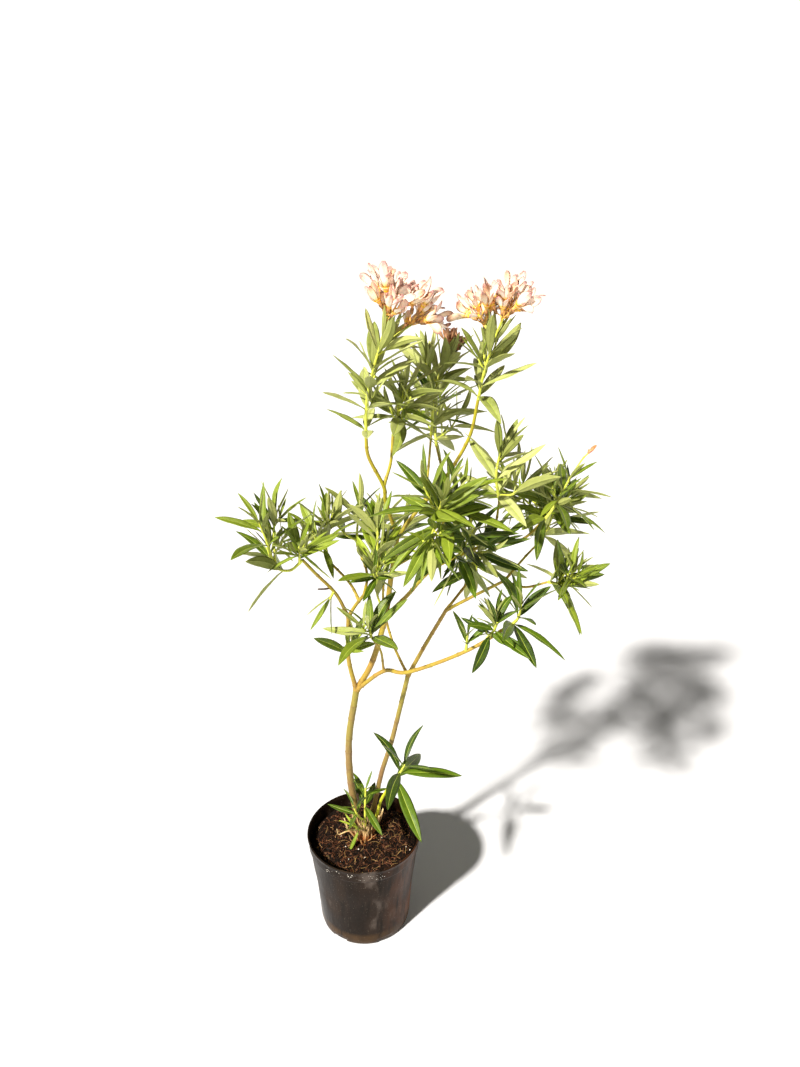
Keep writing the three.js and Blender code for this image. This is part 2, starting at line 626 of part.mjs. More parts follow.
function buildPot() {
  const inside = [...POT_INSIDE].reverse();
  const profile = [[0, 0], ...POT_OUTLINE, ...inside, [0, FLOOR]];
  const shell = latheSolid(profile);
  const slots = Array.from({ length: DRAIN_COUNT }, (_, i) => {
    const slot = new THREE.BoxGeometry(DRAIN_DEPTH * 2, DRAIN_WIDTH, DRAIN_HEIGHT * 2);
    slot.translate(BASE_RADIUS + 2, 0, 0);
    slot.rotateZ(radians(DRAIN_START + (360 / DRAIN_COUNT) * i));
    return solidFromGeometry(slot);
  });
  return slots.reduce((rest, slot) => rest.subtract(slot), shell);
}

// The soil fills the pot up to a little under the rim, and sinks slightly at its edge.
function buildSoil() {
  const wall = POT_INSIDE.slice(1, 4).map(([radius, height]) => [radius - SOIL_CLEARANCE, height]);
  const profile = [
    [0, DRAIN_HEIGHT + GAP],
    [BASE_RADIUS, DRAIN_HEIGHT + GAP],
    ...wall,
    [95 - WALL - SOIL_CLEARANCE, SOIL_LEVEL - SOIL_EDGE_DROP],
    [SOIL_FLAT_RADIUS, SOIL_LEVEL],
    [0, SOIL_LEVEL],
  ];
  return latheSolid(profile);
}

// ---------------------------------------------------------------- the plant
const plant = new THREE.Group();
plant.name = "potted_oleander";

function addMesh(name, solid, color, roughness, leaves) {
  const material = new THREE.MeshStandardMaterial({ color, roughness, metalness: 0 });
  const mesh = new THREE.Mesh(geometryFromSolid(solid), material);
  mesh.name = name;
  mesh.userData.leaves = leaves;
  plant.add(mesh);
}

addMesh("pot", buildPot(), COLOURS.pot, 0.45);
addMesh("soil", buildSoil(), COLOURS.soil, 0.95);
const limbs = buildLimbs();
for (const { name, solid } of limbs) {
  addMesh(name, solid, name.startsWith("stem") ? COLOURS.bark : COLOURS.young_bark, 0.8);
}
for (const { name, solid, leaves } of buildMasses(limbs)) {
  addMesh(name, solid, COLOURS.leaf, 0.6, leaves);
}

export default plant;
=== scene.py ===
# A flowering oleander, about 1.1 m tall, in a black nursery pot. The plant is dressed round its
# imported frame. Sizes are in millimetres, and become metres where a mesh is made.
import math

import bpy
import numpy as np
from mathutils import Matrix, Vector, noise
from mathutils.bvhtree import BVHTree


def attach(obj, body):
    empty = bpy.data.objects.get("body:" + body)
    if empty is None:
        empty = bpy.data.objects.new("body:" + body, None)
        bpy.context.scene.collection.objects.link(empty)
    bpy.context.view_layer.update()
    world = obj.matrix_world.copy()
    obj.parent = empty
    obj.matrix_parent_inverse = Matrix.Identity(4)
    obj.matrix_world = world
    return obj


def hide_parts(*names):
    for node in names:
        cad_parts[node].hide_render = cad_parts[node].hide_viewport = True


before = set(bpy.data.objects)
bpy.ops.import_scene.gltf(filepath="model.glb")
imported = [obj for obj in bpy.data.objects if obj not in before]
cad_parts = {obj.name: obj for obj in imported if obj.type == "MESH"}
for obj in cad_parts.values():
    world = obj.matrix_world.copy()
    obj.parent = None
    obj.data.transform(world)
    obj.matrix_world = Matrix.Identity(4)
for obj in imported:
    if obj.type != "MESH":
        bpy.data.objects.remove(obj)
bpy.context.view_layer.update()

# ---------------------------------------------------------------- the nursery pot
# A blow-moulded pot of black polypropylene: a slim tapered wall with a turned-in foot, a wider
# collar with a rolled lip, and six drain slots cut through the edge of the floor.
MM = 0.001
POT_COLUMNS = 144
DRAIN_COUNT = 6
DRAIN_COLUMNS = 8
DRAIN_START = 57.5
DRAIN_HEIGHT = 7
DRAIN_RADIUS = 69
POT_SHELL = [
    (1, 0), (DRAIN_RADIUS, 0), (75.2, 0), (76, 0.4), (79.5, 3), (80.4, DRAIN_HEIGHT),
    (81.6, 15), (82, 24), (83.4, 46), (86, 83), (88.4, 104), (91, 122), (93.2, 143),
    (94.8, 163), (95.1, 165.2), (96.6, 166), (97.4, 166.8), (97.6, 168), (98.4, 180),
    (98.7, 185.6), (99.5, 186.6), (100, 188.2), (99.8, 189.4), (99, 190), (98, 189.8),
    (97.2, 188.8), (96.6, 180), (95.6, 168), (93.2, 165), (91, 140), (80, 24), (77.5, 7.6),
    (1, 7.6),
]
CHARCOAL = [(10, 6, 3), (18, 11, 7), (33, 25, 20), (88, 80, 76)]
# The brown painted on the right side of the pot, in patches, as reflected light.
PAINTED_BROWN_REFLECTION = (104, 60, 32)
FOOT_MUD = (60, 43, 24)
SHEEN = (0.8, 0.58, 0.42, 1.0)
GRIT = (150, 140, 128)
DUST_SIZE = 60
REFLECTION_PATCH_SIZE = 34
MUD_SIZE = 20
RUN_SIZE = 13
SPECK_SIZE = 1.6
SCUFF_SIZE = 7
SCUFF_DEPTH = 0.5
# Where the painted brown reflection sets in on the right, and where the mud splashed on the foot ends, in
# metres.
REFLECTION_SIDE = (0.03, 0.075)
MUD_LINE = (0.022, 0.030)


def paint(red, green, blue):
    """A colour as seen, from 0 to 255, as the shader takes it."""
    def linear(value):
        share = value / 255
        return share / 12.92 if share <= 0.04045 else ((share + 0.055) / 1.055) ** 2.4
    return (linear(red), linear(green), linear(blue), 1)


class Skin:
    """The skin of one kind of thing: its points, its faces and what each face is made of."""

    def __init__(self, *marks):
        self.points, self.faces, self.stuffs = [], [], []
        self.marks = {mark: [] for mark in marks}
        self.count = 0

    def add(self, rings, stuffs=0, caps=True, **marks):
        """Rings with the same number of points, joined into a tube with closed ends."""
        rings = np.asarray(rings, float)
        stations, sides = rings.shape[:2]
        low = self.count + np.arange(stations - 1)[:, None] * sides
        i = np.arange(sides)
        j = (i + 1) % sides
        quads = np.stack([low + i, low + j, low + sides + j, low + sides + i], axis=-1)
        self.faces += quads.reshape(-1, 4).tolist()
        stuffs = np.broadcast_to(stuffs, (stations - 1, sides))
        self.stuffs += stuffs.ravel().tolist()
        if caps:
            last = self.count + (stations - 1) * sides
            self.faces.append(list(range(self.count + sides - 1, self.count - 1, -1)))
            self.faces.append(list(range(last, last + sides)))
            self.stuffs += [int(stuffs[0, 0]), int(stuffs[-1, 0])]
        self.points.append(rings.reshape(-1, 3))
        self.count += stations * sides
        for mark, values in marks.items():
            self.marks[mark].append(np.broadcast_to(values, (stations, sides)).ravel())

    def made(self, name, *materials):
        """The skin as a smooth mesh object, in metres."""
        mesh = bpy.data.meshes.new(name)
        mesh.from_pydata((np.concatenate(self.points) * MM).tolist(), [], self.faces)
        for material in materials:
            mesh.materials.append(material)
        mesh.polygons.foreach_set("material_index", self.stuffs)
        mesh.shade_smooth()
        for mark, values in self.marks.items():
            layer = mesh.attributes.new(mark, "FLOAT", "POINT")
            layer.data.foreach_set("value", np.concatenate(values).astype(np.float32))
        piece = bpy.data.objects.new(name, mesh)
        bpy.context.scene.collection.objects.link(piece)
        return piece


def material_of(name, roughness, **sockets):
    """A material, the nodes that it is made of and its shader, with plain values set on it."""
    material = bpy.data.materials.new(name)
    material.use_nodes = True
    shader = material.node_tree.nodes["Principled BSDF"]
    shader.inputs["Roughness"].default_value = roughness
    for socket, value in sockets.items():
        shader.inputs[socket.replace("_", " ")].default_value = value
    return material, material.node_tree, shader


def grains(tree, size, detail=4, stretch=(1, 1, 1)):
    """A cloud of noise whose patches are about `size` millimetres across."""
    place = tree.nodes.new("ShaderNodeTexCoord")
    mapping = tree.nodes.new("ShaderNodeMapping")
    mapping.inputs["Scale"].default_value = stretch
    cloud = tree.nodes.new("ShaderNodeTexNoise")
    cloud.inputs["Scale"].default_value = 1 / (size * MM)
    cloud.inputs["Detail"].default_value = detail
    tree.links.new(place.outputs["Object"], mapping.inputs["Vector"])
    tree.links.new(mapping.outputs["Vector"], cloud.inputs["Vector"])
    return cloud.outputs["Fac"]


def place_along(tree, axis, space="Object"):
    """Where a spot lies along X, Y or Z, in metres."""
    place = tree.nodes.new("ShaderNodeTexCoord")
    axes = tree.nodes.new("ShaderNodeSeparateXYZ")
    tree.links.new(place.outputs[space], axes.inputs["Vector"])
    return axes.outputs[axis]


def spread(tree, source, colours, low=0.3, high=0.7):
    """A number spread over a row of colours, from its low value to its high one."""
    ramp = tree.nodes.new("ShaderNodeValToRGB")
    stops = ramp.color_ramp.elements
    while len(stops) < len(colours):
        stops.new(0.5)
    for k, (stop, colour) in enumerate(zip(stops, colours)):
        stop.position = low + (high - low) * k / (len(colours) - 1)
    for stop, colour in zip(stops, colours):
        stop.color = paint(*colour)
    tree.links.new(source, ramp.inputs["Fac"])
    return ramp.outputs["Color"]


def blended(tree, amount, first, second):
    """Two colours mixed: `amount` of the second."""
    mix = tree.nodes.new("ShaderNodeMix")
    mix.data_type = "RGBA"
    tree.links.new(amount, mix.inputs["Factor"])
    for source, socket in ((first, "A"), (second, "B")):
        target = [i for i in mix.inputs if i.name == socket and i.type == "RGBA"][0]
        if isinstance(source, tuple):
            target.default_value = source
        else:
            tree.links.new(source, target)
    return [o for o in mix.outputs if o.type == "RGBA"][0]


def ranged(tree, source, low, high, to_low, to_high):
    """A number brought from one range to another, and kept in it."""
    change = tree.nodes.new("ShaderNodeMapRange")
    for socket, value in zip(("From Min", "From Max", "To Min", "To Max"), (low, high, to_low, to_high)):
        change.inputs[socket].default_value = value
    tree.links.new(source, change.inputs["Value"])
    return change.outputs["Result"]


def worked(tree, kind, first, second):
    """Two numbers, worked out by a rule such as MULTIPLY."""
    rule = tree.nodes.new("ShaderNodeMath")
    rule.operation = kind
    for source, socket in ((first, rule.inputs[0]), (second, rule.inputs[1])):
        if isinstance(source, (int, float)):
            socket.default_value = source
        else:
            tree.links.new(source, socket)
    return rule.outputs["Value"]


def embossed(tree, shader, height, depth, strength=1.0):
    """Fine relief: `depth` millimetres from its hollows to its tops."""
    bump = tree.nodes.new("ShaderNodeBump")
    bump.inputs["Distance"].default_value = depth * MM
    bump.inputs["Strength"].default_value = strength
    tree.links.new(height, bump.inputs["Height"])
    tree.links.new(bump.outputs["Normal"], shader.inputs["Normal"])


def lathe_rings(outline, columns):
    """Rings of points round the pot's axis, from an outline of radii and heights."""
    angles = np.arange(columns) * 2 * np.pi / columns
    around = np.stack([np.cos(angles), np.sin(angles), np.zeros(columns)], axis=1)
    return np.array([around * radius + [0, 0, height] for radius, height in outline])


def cut_drains(skin, rings):
    """Opens the slots in the foot, and lines each with its walls and its ceiling."""
    top_row = [height for _, height in POT_SHELL].index(DRAIN_HEIGHT)
    middle = DRAIN_START / 360 * POT_COLUMNS
    slots = []
    for k in range(DRAIN_COUNT):
        first = round(middle + k * POT_COLUMNS / DRAIN_COUNT - DRAIN_COLUMNS / 2)
        slots.append([(first + c) % POT_COLUMNS for c in range(DRAIN_COLUMNS)])
    gone = {row * POT_COLUMNS + c for row in range(1, top_row) for slot in slots for c in slot}
    skin.faces = [face for n, face in enumerate(skin.faces) if n not in gone]
    skin.stuffs = skin.stuffs[: len(skin.faces)]
    for slot in slots:
        ends = slot + [(slot[-1] + 1) % POT_COLUMNS]
        size = len(ends)
        start = skin.count
        skin.points.append(rings[1][ends] + [0, 0, DRAIN_HEIGHT])
        skin.count += size
        wall_foot = [POT_COLUMNS + c for c in ends]
        wall_top = [top_row * POT_COLUMNS + c for c in ends]
        for c in range(size - 1):
            skin.faces.append([wall_foot[c], wall_foot[c + 1], start + c + 1, start + c])
            skin.faces.append([start + c, start + c + 1, wall_top[c + 1], wall_top[c]])
        for c, turned in ((0, True), (size - 1, False)):
            edge = [row * POT_COLUMNS + ends[c] for row in range(1, top_row + 1)]
            side = [*edge, start + c]
            skin.faces.append(side[::-1] if turned else side)
        skin.stuffs += [0] * (2 * size)


pot_skin = Skin()
pot_rings = lathe_rings(POT_SHELL, POT_COLUMNS)
pot_skin.add(pot_rings)
cut_drains(pot_skin, pot_rings)

pot_plastic, tree, shader = material_of("pot_plastic", 0.4, Specular_IOR_Level=0.14,
                                        Specular_Tint=SHEEN)
dust = grains(tree, DUST_SIZE, 6, (1, 1, 0.5))
film = spread(tree, dust, CHARCOAL, 0.36, 0.72)
# The right side of the pot turns brown in patches: painted reflected light.
side_reflection = worked(tree, "MULTIPLY", ranged(tree, place_along(tree, "X"), *REFLECTION_SIDE, 0, 0.7),
              ranged(tree, grains(tree, REFLECTION_PATCH_SIZE, 5, (1, 1, 0.3)), 0.4, 0.62, 0.1, 0.9))
film_and_reflection = blended(tree, side_reflection, film, paint(*PAINTED_BROWN_REFLECTION))
foot = worked(tree, "MULTIPLY", ranged(tree, place_along(tree, "Z"), *MUD_LINE, 0.9, 0),
              ranged(tree, grains(tree, MUD_SIZE, 4), 0.3, 0.6, 0.5, 1))
splashed = blended(tree, foot, film_and_reflection, paint(*FOOT_MUD))
runs = ranged(tree, grains(tree, RUN_SIZE, 5, (1, 1, 0.1)), 0.54, 0.62, 0, 0.85)
streaked = blended(tree, runs, splashed, paint(*CHARCOAL[0]))
specks = ranged(tree, grains(tree, SPECK_SIZE, 2), 0.69, 0.75, 0, 0.6)
tree.links.new(blended(tree, specks, streaked, paint(*GRIT)), shader.inputs["Base Color"])
tree.links.new(ranged(tree, dust, 0.35, 0.7, 0.3, 0.62), shader.inputs["Roughness"])
embossed(tree, shader, grains(tree, SCUFF_SIZE, 5, (1, 1, 0.25)), SCUFF_DEPTH)

pot = pot_skin.made("nursery_pot", pot_plastic)
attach(pot, "root")
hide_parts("pot")

# ---------------------------------------------------------------- water drops on the collar
# Drops of water and grit that watering has left on the front of the collar, just under the lip.
# Each is a small flat dome that sits on the plastic. Its pale grey is partly its grit and partly
# a painted highlight on the wet plastic.
DROP_COUNT = 46
DROP_SIZE = (0.5, 1.5)
DROP_ARC = (-128, -62)
DROP_ROWS = (169, 183)
DROP_FLATNESS = 0.45
COLLAR_HEIGHTS = (168, 185.6)
COLLAR_RADII = (97.6, 98.7)
# The greys of the drops: partly grit, partly painted highlights.
DROP_GREYS_AND_HIGHLIGHTS = [(70, 66, 62), (205, 200, 194)]


def lump_rings(centre, out, size, flatness, rows=4, sides=7, rough=None):
    """A rounded lump that lies against a surface whose outward direction is `out`."""
    out = np.asarray(out, float) / np.linalg.norm(out)
    across = np.cross(out, [0.31, 0.52, 0.79])
    across /= np.linalg.norm(across)
    side = np.cross(out, across)
    rings = []
    for k in range(rows):
        lean = np.pi * (0.06 + 0.88 * k / (rows - 1))
        angles = np.arange(sides) * 2 * np.pi / sides
        ring = np.outer(np.cos(angles), across) + np.outer(np.sin(angles), side)
        ring = ring * math.sin(lean) - out * math.cos(lean) * flatness
        rings.append(centre + ring * size * (1 if rough is None else rough[k][:, None]))
    return rings


def mottled(name, roughness, size, colours, detail=4, **sockets):
    """A material that drifts from colour to colour in patches about `size` millimetres across."""
    material, tree, shader = material_of(name, roughness, **sockets)
    patches = spread(tree, grains(tree, size, detail), colours)
    tree.links.new(patches, shader.inputs["Base Color"])
    return material


drop_random = np.random.default_rng(5)
drops = Skin()
for _ in range(DROP_COUNT):
    angle = math.radians(drop_random.uniform(*DROP_ARC))
    height = drop_random.uniform(*DROP_ROWS)
    radius = np.interp(height, COLLAR_HEIGHTS, COLLAR_RADII)
    out = np.array([math.cos(angle), math.sin(angle), 0])
    size = drop_random.uniform(*DROP_SIZE) * drop_random.uniform(0.5, 1)
    drops.add(lump_rings(out * radius + [0, 0, height], out, size, DROP_FLATNESS))

drops_and_highlights = mottled("water_drops_and_highlights", 0.06, 3, DROP_GREYS_AND_HIGHLIGHTS, 1, Specular_IOR_Level=0.8)
drops_piece = drops.made("pot_drops", drops_and_highlights)
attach(drops_piece, "root")

# ---------------------------------------------------------------- the potting soil
# Moist peat and coir that fill the pot to a finger's width under its lip: a rough, crumbly top
# with a low mound round the stems, over a body that follows the pot's wall down to the slots.
SOIL_LEVEL = 174
SOIL_EDGE = 92.6
SOIL_COLUMNS = 150
SOIL_ROWS = 62
SOIL_CENTRE = 0.8
SOIL_BODY = [(1, 7.9), (76, 7.9), (79.5, 24), (88.5, 122), (92.3, 160)]
SOIL_TONES = [(5, 3, 2), (14, 8, 5), (33, 19, 12), (74, 46, 30)]
# The clods, the lumps and the crumbs: how closely they sit, their own layer and their height.
SOIL_RELIEF = [(0.05, 3.1, 3.2), (0.16, 7.7, 2.0), (0.42, 1.3, 1.1)]
SOIL_SINK = 2.4
MOUND_SPOT = (2, 26)
MOUND_HEIGHT = 5
MOUND_BREADTH = 900
SLOPE_START = 78
SLOPE_DROP = 5
CRUMB_SIZE = 3.2
CRUMB_DEPTH = 2.0
DAMP_SIZE = 24


def soil_height(x, y):
    """The height of the soil's top, with its clods, crumbs and the mound round the stems."""
    radius = math.hypot(x, y)
    clods, lumps, crumbs = (
        height * noise.noise(Vector((x * close, y * close, layer)))
        for close, layer, height in SOIL_RELIEF
    )
    off_x, off_y = x - MOUND_SPOT[0], y - MOUND_SPOT[1]
    mound = MOUND_HEIGHT * math.exp(-(off_x**2 + off_y**2) / MOUND_BREADTH)
    slope = SLOPE_DROP * max(0, (radius - SLOPE_START) / (SOIL_EDGE - SLOPE_START)) ** 2
    return SOIL_LEVEL - SOIL_SINK + clods + lumps + crumbs + mound - slope


soil_skin = Skin()
soil_rings = list(lathe_rings(SOIL_BODY, SOIL_COLUMNS))
for k in range(SOIL_ROWS):
    radius = SOIL_EDGE + (SOIL_CENTRE - SOIL_EDGE) * k / (SOIL_ROWS - 1)
    ring = lathe_rings([(radius, 0)], SOIL_COLUMNS)[0]
    ring[:, 2] = [soil_height(x, y) for x, y, _ in ring]
    soil_rings.append(ring)
soil_skin.add(soil_rings)

soil_mix, tree, shader = material_of("potting_soil", 0.85, Specular_IOR_Level=0.15)
crumbs = grains(tree, CRUMB_SIZE, 8)
tree.links.new(spread(tree, crumbs, SOIL_TONES, 0.34, 0.72), shader.inputs["Base Color"])
damp = ranged(tree, grains(tree, DAMP_SIZE), 0.35, 0.6, 0.55, 0.95)
tree.links.new(damp, shader.inputs["Roughness"])
embossed(tree, shader, crumbs, CRUMB_DEPTH)

soil = soil_skin.made("soil_top", soil_mix)
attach(soil, "root")
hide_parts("soil")

# ---------------------------------------------------------------- crumbs, grit and fibres on the soil
# What lies loose in the mix: black peat crumbs, bits of bark, reddish coir fibres that curl out
# of it, pale straw, and a few white grains of perlite. All are sunk a little into the soil.
CRUMB_COUNT = 620
FIBRE_COUNT = 520
PERLITE_COUNT = 13
CRUMB_REACH = 86
CRUMB_SIZES = (0.7, 2.6)
PERLITE_SIZES = (0.9, 1.9)
FIBRE_REACH = 84
FIBRE_LENGTH = (5, 24)
FIBRE_RADIUS = (0.14, 0.34)
FIBRE_LIFT = (0.4, 3.4)
FIBRE_STEPS = 6
FIBRE_DEPTH = 0.6
WALL_MARGIN = 3
PEAT = [(8, 5, 3), (34, 20, 12)]
BARK_BITS = [(52, 32, 20), (112, 72, 44)]
COIR = [(72, 36, 22), (150, 90, 54)]
STRAW = [(158, 116, 66), (216, 178, 118)]
PERLITE = [(196, 188, 176), (240, 236, 228)]
soil_random = np.random.default_rng(21)


def soil_spot(reach):
    """A random spot on the soil's top."""
    radius = reach * math.sqrt(soil_random.random())
    angle = soil_random.uniform(0, 2 * math.pi)
    x, y = radius * math.cos(angle), radius * math.sin(angle)
    return np.array([x, y, soil_height(x, y)])


def crumb(skin, size, stuff):
    """A rough crumb that lies on the soil, tilted a little."""
    rough = soil_random.uniform(0.72, 1.2, (4, 7))
    out = soil_random.normal(0, 0.4, 3) + [0, 0, 1]
    spot = soil_spot(CRUMB_REACH)
    skin.add(lump_rings(spot, out, size, soil_random.uniform(0.5, 0.95), rough=rough), stuff)


def strand_rings(points, radii, sides=4):
    """A thin strand through points, with a radius at each."""
    points = np.asarray(points, float)
    headings = np.gradient(points, axis=0)
    across = np.cross(headings, [0.23, 0.41, 0.88])
    across /= np.linalg.norm(across, axis=1)[:, None]
    side = np.cross(headings / np.linalg.norm(headings, axis=1)[:, None], across)
    angles = np.arange(sides) * 2 * np.pi / sides
    return [
        point + radius * (np.outer(np.cos(angles), a) + np.outer(np.sin(angles), s))
        for point, radius, a, s in zip(points, radii, across, side)
    ]


def fibre(skin, stuff, length, radius, lift):
    """A curled fibre that leaves the soil, bows over it and goes back in."""
    start = soil_spot(FIBRE_REACH)
    turn = soil_random.uniform(0, 2 * math.pi)
    curl = soil_random.normal(0, 0.24)
    points = [start]
    for k in range(FIBRE_STEPS):
        turn += curl
        step = np.array([math.cos(turn), math.sin(turn), 0]) * length / FIBRE_STEPS
        x, y = (points[-1] + step)[:2]
        if math.hypot(x, y) > SOIL_EDGE - WALL_MARGIN:
            return
        bow = lift * math.sin(math.pi * (k + 1) / FIBRE_STEPS)
        points.append(np.array([x, y, soil_height(x, y) + bow + 0.1]))
    points[0][2] -= FIBRE_DEPTH
    points[-1][2] -= FIBRE_DEPTH
    skin.add(strand_rings(points, np.linspace(radius, radius * 0.5, FIBRE_STEPS + 1)), stuff)


litter = Skin()
for _ in range(CRUMB_COUNT):
    crumb(litter, soil_random.uniform(*CRUMB_SIZES), soil_random.choice([0, 0, 1]))
for _ in range(FIBRE_COUNT):
    length = soil_random.uniform(*FIBRE_LENGTH)
    kind = soil_random.choice([2, 2, 2, 3])
    radius = soil_random.uniform(*FIBRE_RADIUS)
    fibre(litter, kind, length, radius, soil_random.uniform(*FIBRE_LIFT))
for _ in range(PERLITE_COUNT):
    crumb(litter, soil_random.uniform(*PERLITE_SIZES), 4)

peat = mottled("peat_crumbs", 0.8, 2, PEAT, Specular_IOR_Level=0.15)
bark_bits = mottled("bark_bits", 0.8, 2, BARK_BITS)
coir = mottled("coir_fibre", 0.6, 9, COIR)
straw = mottled("pale_straw", 0.6, 8, STRAW)
perlite = mottled("perlite", 0.7, 1, PERLITE)

litter_piece = litter.made("soil_litter", peat, bark_bits, coir, straw, perlite)
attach(litter_piece, "root")

# ---------------------------------------------------------------- the stems and boughs
# Three stems stand in the soil and fork into slim boughs. Young oleander wood is smooth, with a
# low ring at each node and three crescent scars where its whorl of leaves has dropped.
GAP = 0.3
SOIL_FOOT = SOIL_LEVEL + GAP
FORK = (-6, -20, 497)
LEFT_FORK = (-14, -40, 641)
UPPER_FORK = (60, -20, 764)
TOP_LEFT_FORK = (41, -40, 850)
RIGHT_STEM_FORK = (77, 30, 491)
RIGHT_FORK = (137, 20, 620)
RIGHT_LOW_NODE = (221, -20, 692)
GOLD_NODE = (201, -31, 761)

# Each limb: its name, the points of its middle line from root to tip, its radius at the root
# and at the tip, and the flare of its foot on the soil.
LIMBS = [
    ("stem_left", [(-6, 16, SOIL_FOOT), (-20, 4, 280), (-21, -10, 389), FORK], (6.4, 5.2), 4.5),
    ("stem_right", [(12, 52, SOIL_FOOT), (32, 44, 282), (50, 40, 353), RIGHT_STEM_FORK], (4.4, 3.9), 2.5),
    ("stem_sucker", [(18, 26, SOIL_FOOT), (31, 8, 249), (56, -20, 320)], (2.8, 2.3), 1.5),
    ("bough_main", [FORK, (20, -20, 549), (41, -20, 628), (50, -20, 693), UPPER_FORK], (4.9, 3.7), 0),
    ("bough_left", [FORK, (-16, -33, 565), LEFT_FORK], (3.7, 3.1), 0),
    ("bough_cross", [FORK, (39, -50, 552), (77, -85, 573), (158, -115, 627), (221, -120, 674)],
     (3.4, 2.4), 0),
    ("bough_left_outer", [LEFT_FORK, (-30, -52, 686), (-57, -72, 730), (-72, -86, 757)], (2.7, 2.2), 0),
    ("bough_left_front", [LEFT_FORK, (0, -52, 670), (24, -76, 712)], (2.8, 2.2), 0),
    ("bough_left_mid", [(4, -56, 677), (-11, -30, 693), (-44, 15, 707)], (2.2, 1.9), 0),
    ("bough_left_back", [(12, -64, 691), (14, -10, 700), (-3, 50, 718)], (2.2, 1.9), 0),
    ("bough_low", [(39, -50, 552), (35, -62, 595), (22, -78, 628)], (1.9, 1.6), 0),
    ("bough_gold", [(42, -20, 632), (74, -35, 674), (107, -55, 725), (150, -50, 748), GOLD_NODE],
     (3.2, 2.5), 0),
    ("bough_front", [(56, -20, 735), (81, -50, 764), (117, -115, 822)], (2, 1.7), 0),
    ("bough_front_right", [(52, -20, 712), (100, -60, 766), (132, -90, 831)], (1.9, 1.6), 0),
    ("bough_top_left", [UPPER_FORK, (44, -34, 823), TOP_LEFT_FORK, (21, -50, 896), (18, -56, 928)],
     (3, 2.3), 0),
    ("bough_top_mid", [TOP_LEFT_FORK, (51, -30, 882), (54, -24, 918)], (2.3, 2), 0),
    ("bough_top_right", [UPPER_FORK, (90, -8, 802), (128, 2, 845), (161, -10, 911), (171, -20, 968)],
     (3.2, 2.2), 0),
    ("bough_centre", [(100, -4, 812), (106, 30, 851), (110, 45, 900)], (1.9, 1.7), 0),
    ("bough_rear_top", [(128, 2, 845), (125, 60, 853), (121, 110, 863)], (2, 1.7), 0),
    ("bough_right", [RIGHT_STEM_FORK, (105, 30, 550), RIGHT_FORK], (3.5, 3), 0),
    ("bough_rear", [RIGHT_STEM_FORK, (51, 50, 546), (36, 80, 606), (42, 110, 666)], (2.4, 1.8), 0),
    ("bough_right_low", [RIGHT_FORK, (178, 0, 656), RIGHT_LOW_NODE], (2.7, 2.2), 0),
    ("bough_right_back", [RIGHT_FORK, (163, 40, 646), (183, 60, 664)], (2.4, 2), 0),
    ("bough_right_far", [RIGHT_LOW_NODE, (253, 0, 722), (277, 20, 738)], (1.9, 1.6), 0),
    ("bough_right_tip", [RIGHT_LOW_NODE, (248, -45, 694), (279, -60, 710)], (1.9, 1.6), 0),
    ("bough_gold_back", [GOLD_NODE, (234, 10, 762), (276, 50, 774)], (2, 1.6), 0),
    ("bough_gold_far", [GOLD_NODE, (239, -40, 768), (268, -42, 797)], (2.2, 1.9), 0),
    ("bough_gold_up", [GOLD_NODE, (202, -45, 807), (203, -52, 834)], (1.9, 1.6), 0),
]
# The colour of each bark where it is young, where it is old and in the rings at its nodes, the
# size of its grain, and the heights between which it turns from old to young.
STEM_BARK = ((142, 136, 46), (132, 102, 68), (108, 80, 52), 2.6, (330, 500))
SUCKER_BARK = ((190, 198, 44), (170, 172, 44), (140, 122, 50), 2.2, (180, 260))
BOUGH_BARK = ((168, 160, 34), (154, 120, 58), (116, 84, 44), 2.2, (480, 860))
RING_BROWN = 0.45
BARK_PATCH = 26
BARK_RELIEF = 0.35
LIMB_STEP = 44
FOOT_HEIGHT = 30
STEM_SIDES = 8
BOUGH_SIDES = 6
BARK_STEP = 1.6
BARK_SIDES = 22
COLLAR = 0.28
COLLAR_LENGTH = 9
NODE_SPACING = (24, 52)
NODE_RISE = 0.26
STEM_RISE = 0.12
SCAR_RISE = 0.55
STEM_FURROW = 0.5
BOUGH_FURROW = 0.16
UP = np.array([0.0, 0.0, 1.0])
COURSE_PARTS = 200


def unit(way):
    """A direction brought to a length of one."""
    return way / np.linalg.norm(way)


class Course:
    """A smooth line through a few points, walked by its own length."""

    def __init__(self, path):
        self.path = np.array(path, float)
        walk = np.array([self.spot(i / COURSE_PARTS) for i in range(COURSE_PARTS + 1)])
        steps = np.linalg.norm(np.diff(walk, axis=0), axis=1)
        self.walked = np.concatenate([[0], np.cumsum(steps)])
        self.length = self.walked[-1]

    def spot(self, time):
        """The point at a time from 0 to 1, by the curve's own pace."""
        last = len(self.path) - 1
        k = min(int(time * last), last - 1)
        w = time * last - k
        start, end = self.path[k], self.path[k + 1]
        before = self.path[k - 1] if k else 2 * start - end
        after = self.path[k + 2] if k + 2 <= last else 2 * end - start
        leave, arrive = (end - before) / 2, (after - start) / 2
        bend = (w**3 - 2 * w**2 + w) * leave + (w**3 - w**2) * arrive
        return (2 * w**3 - 3 * w**2 + 1) * start + (3 * w**2 - 2 * w**3) * end + bend

    def time_at(self, share):
        """The time at which a share of the length is walked."""
        times = np.linspace(0, 1, COURSE_PARTS + 1)
        return float(np.interp(share * self.length, self.walked, times))

    def at(self, share):
        return self.spot(self.time_at(share))

    def heading(self, share):
        time = self.time_at(share)
        return unit(self.spot(min(1, time + 1e-4)) - self.spot(max(0, time - 1e-4)))


def even_steps(length, step):
    """Distances from 0 to a length, about a step apart."""
    return np.linspace(0, length, max(1, round(length / step)) + 1)


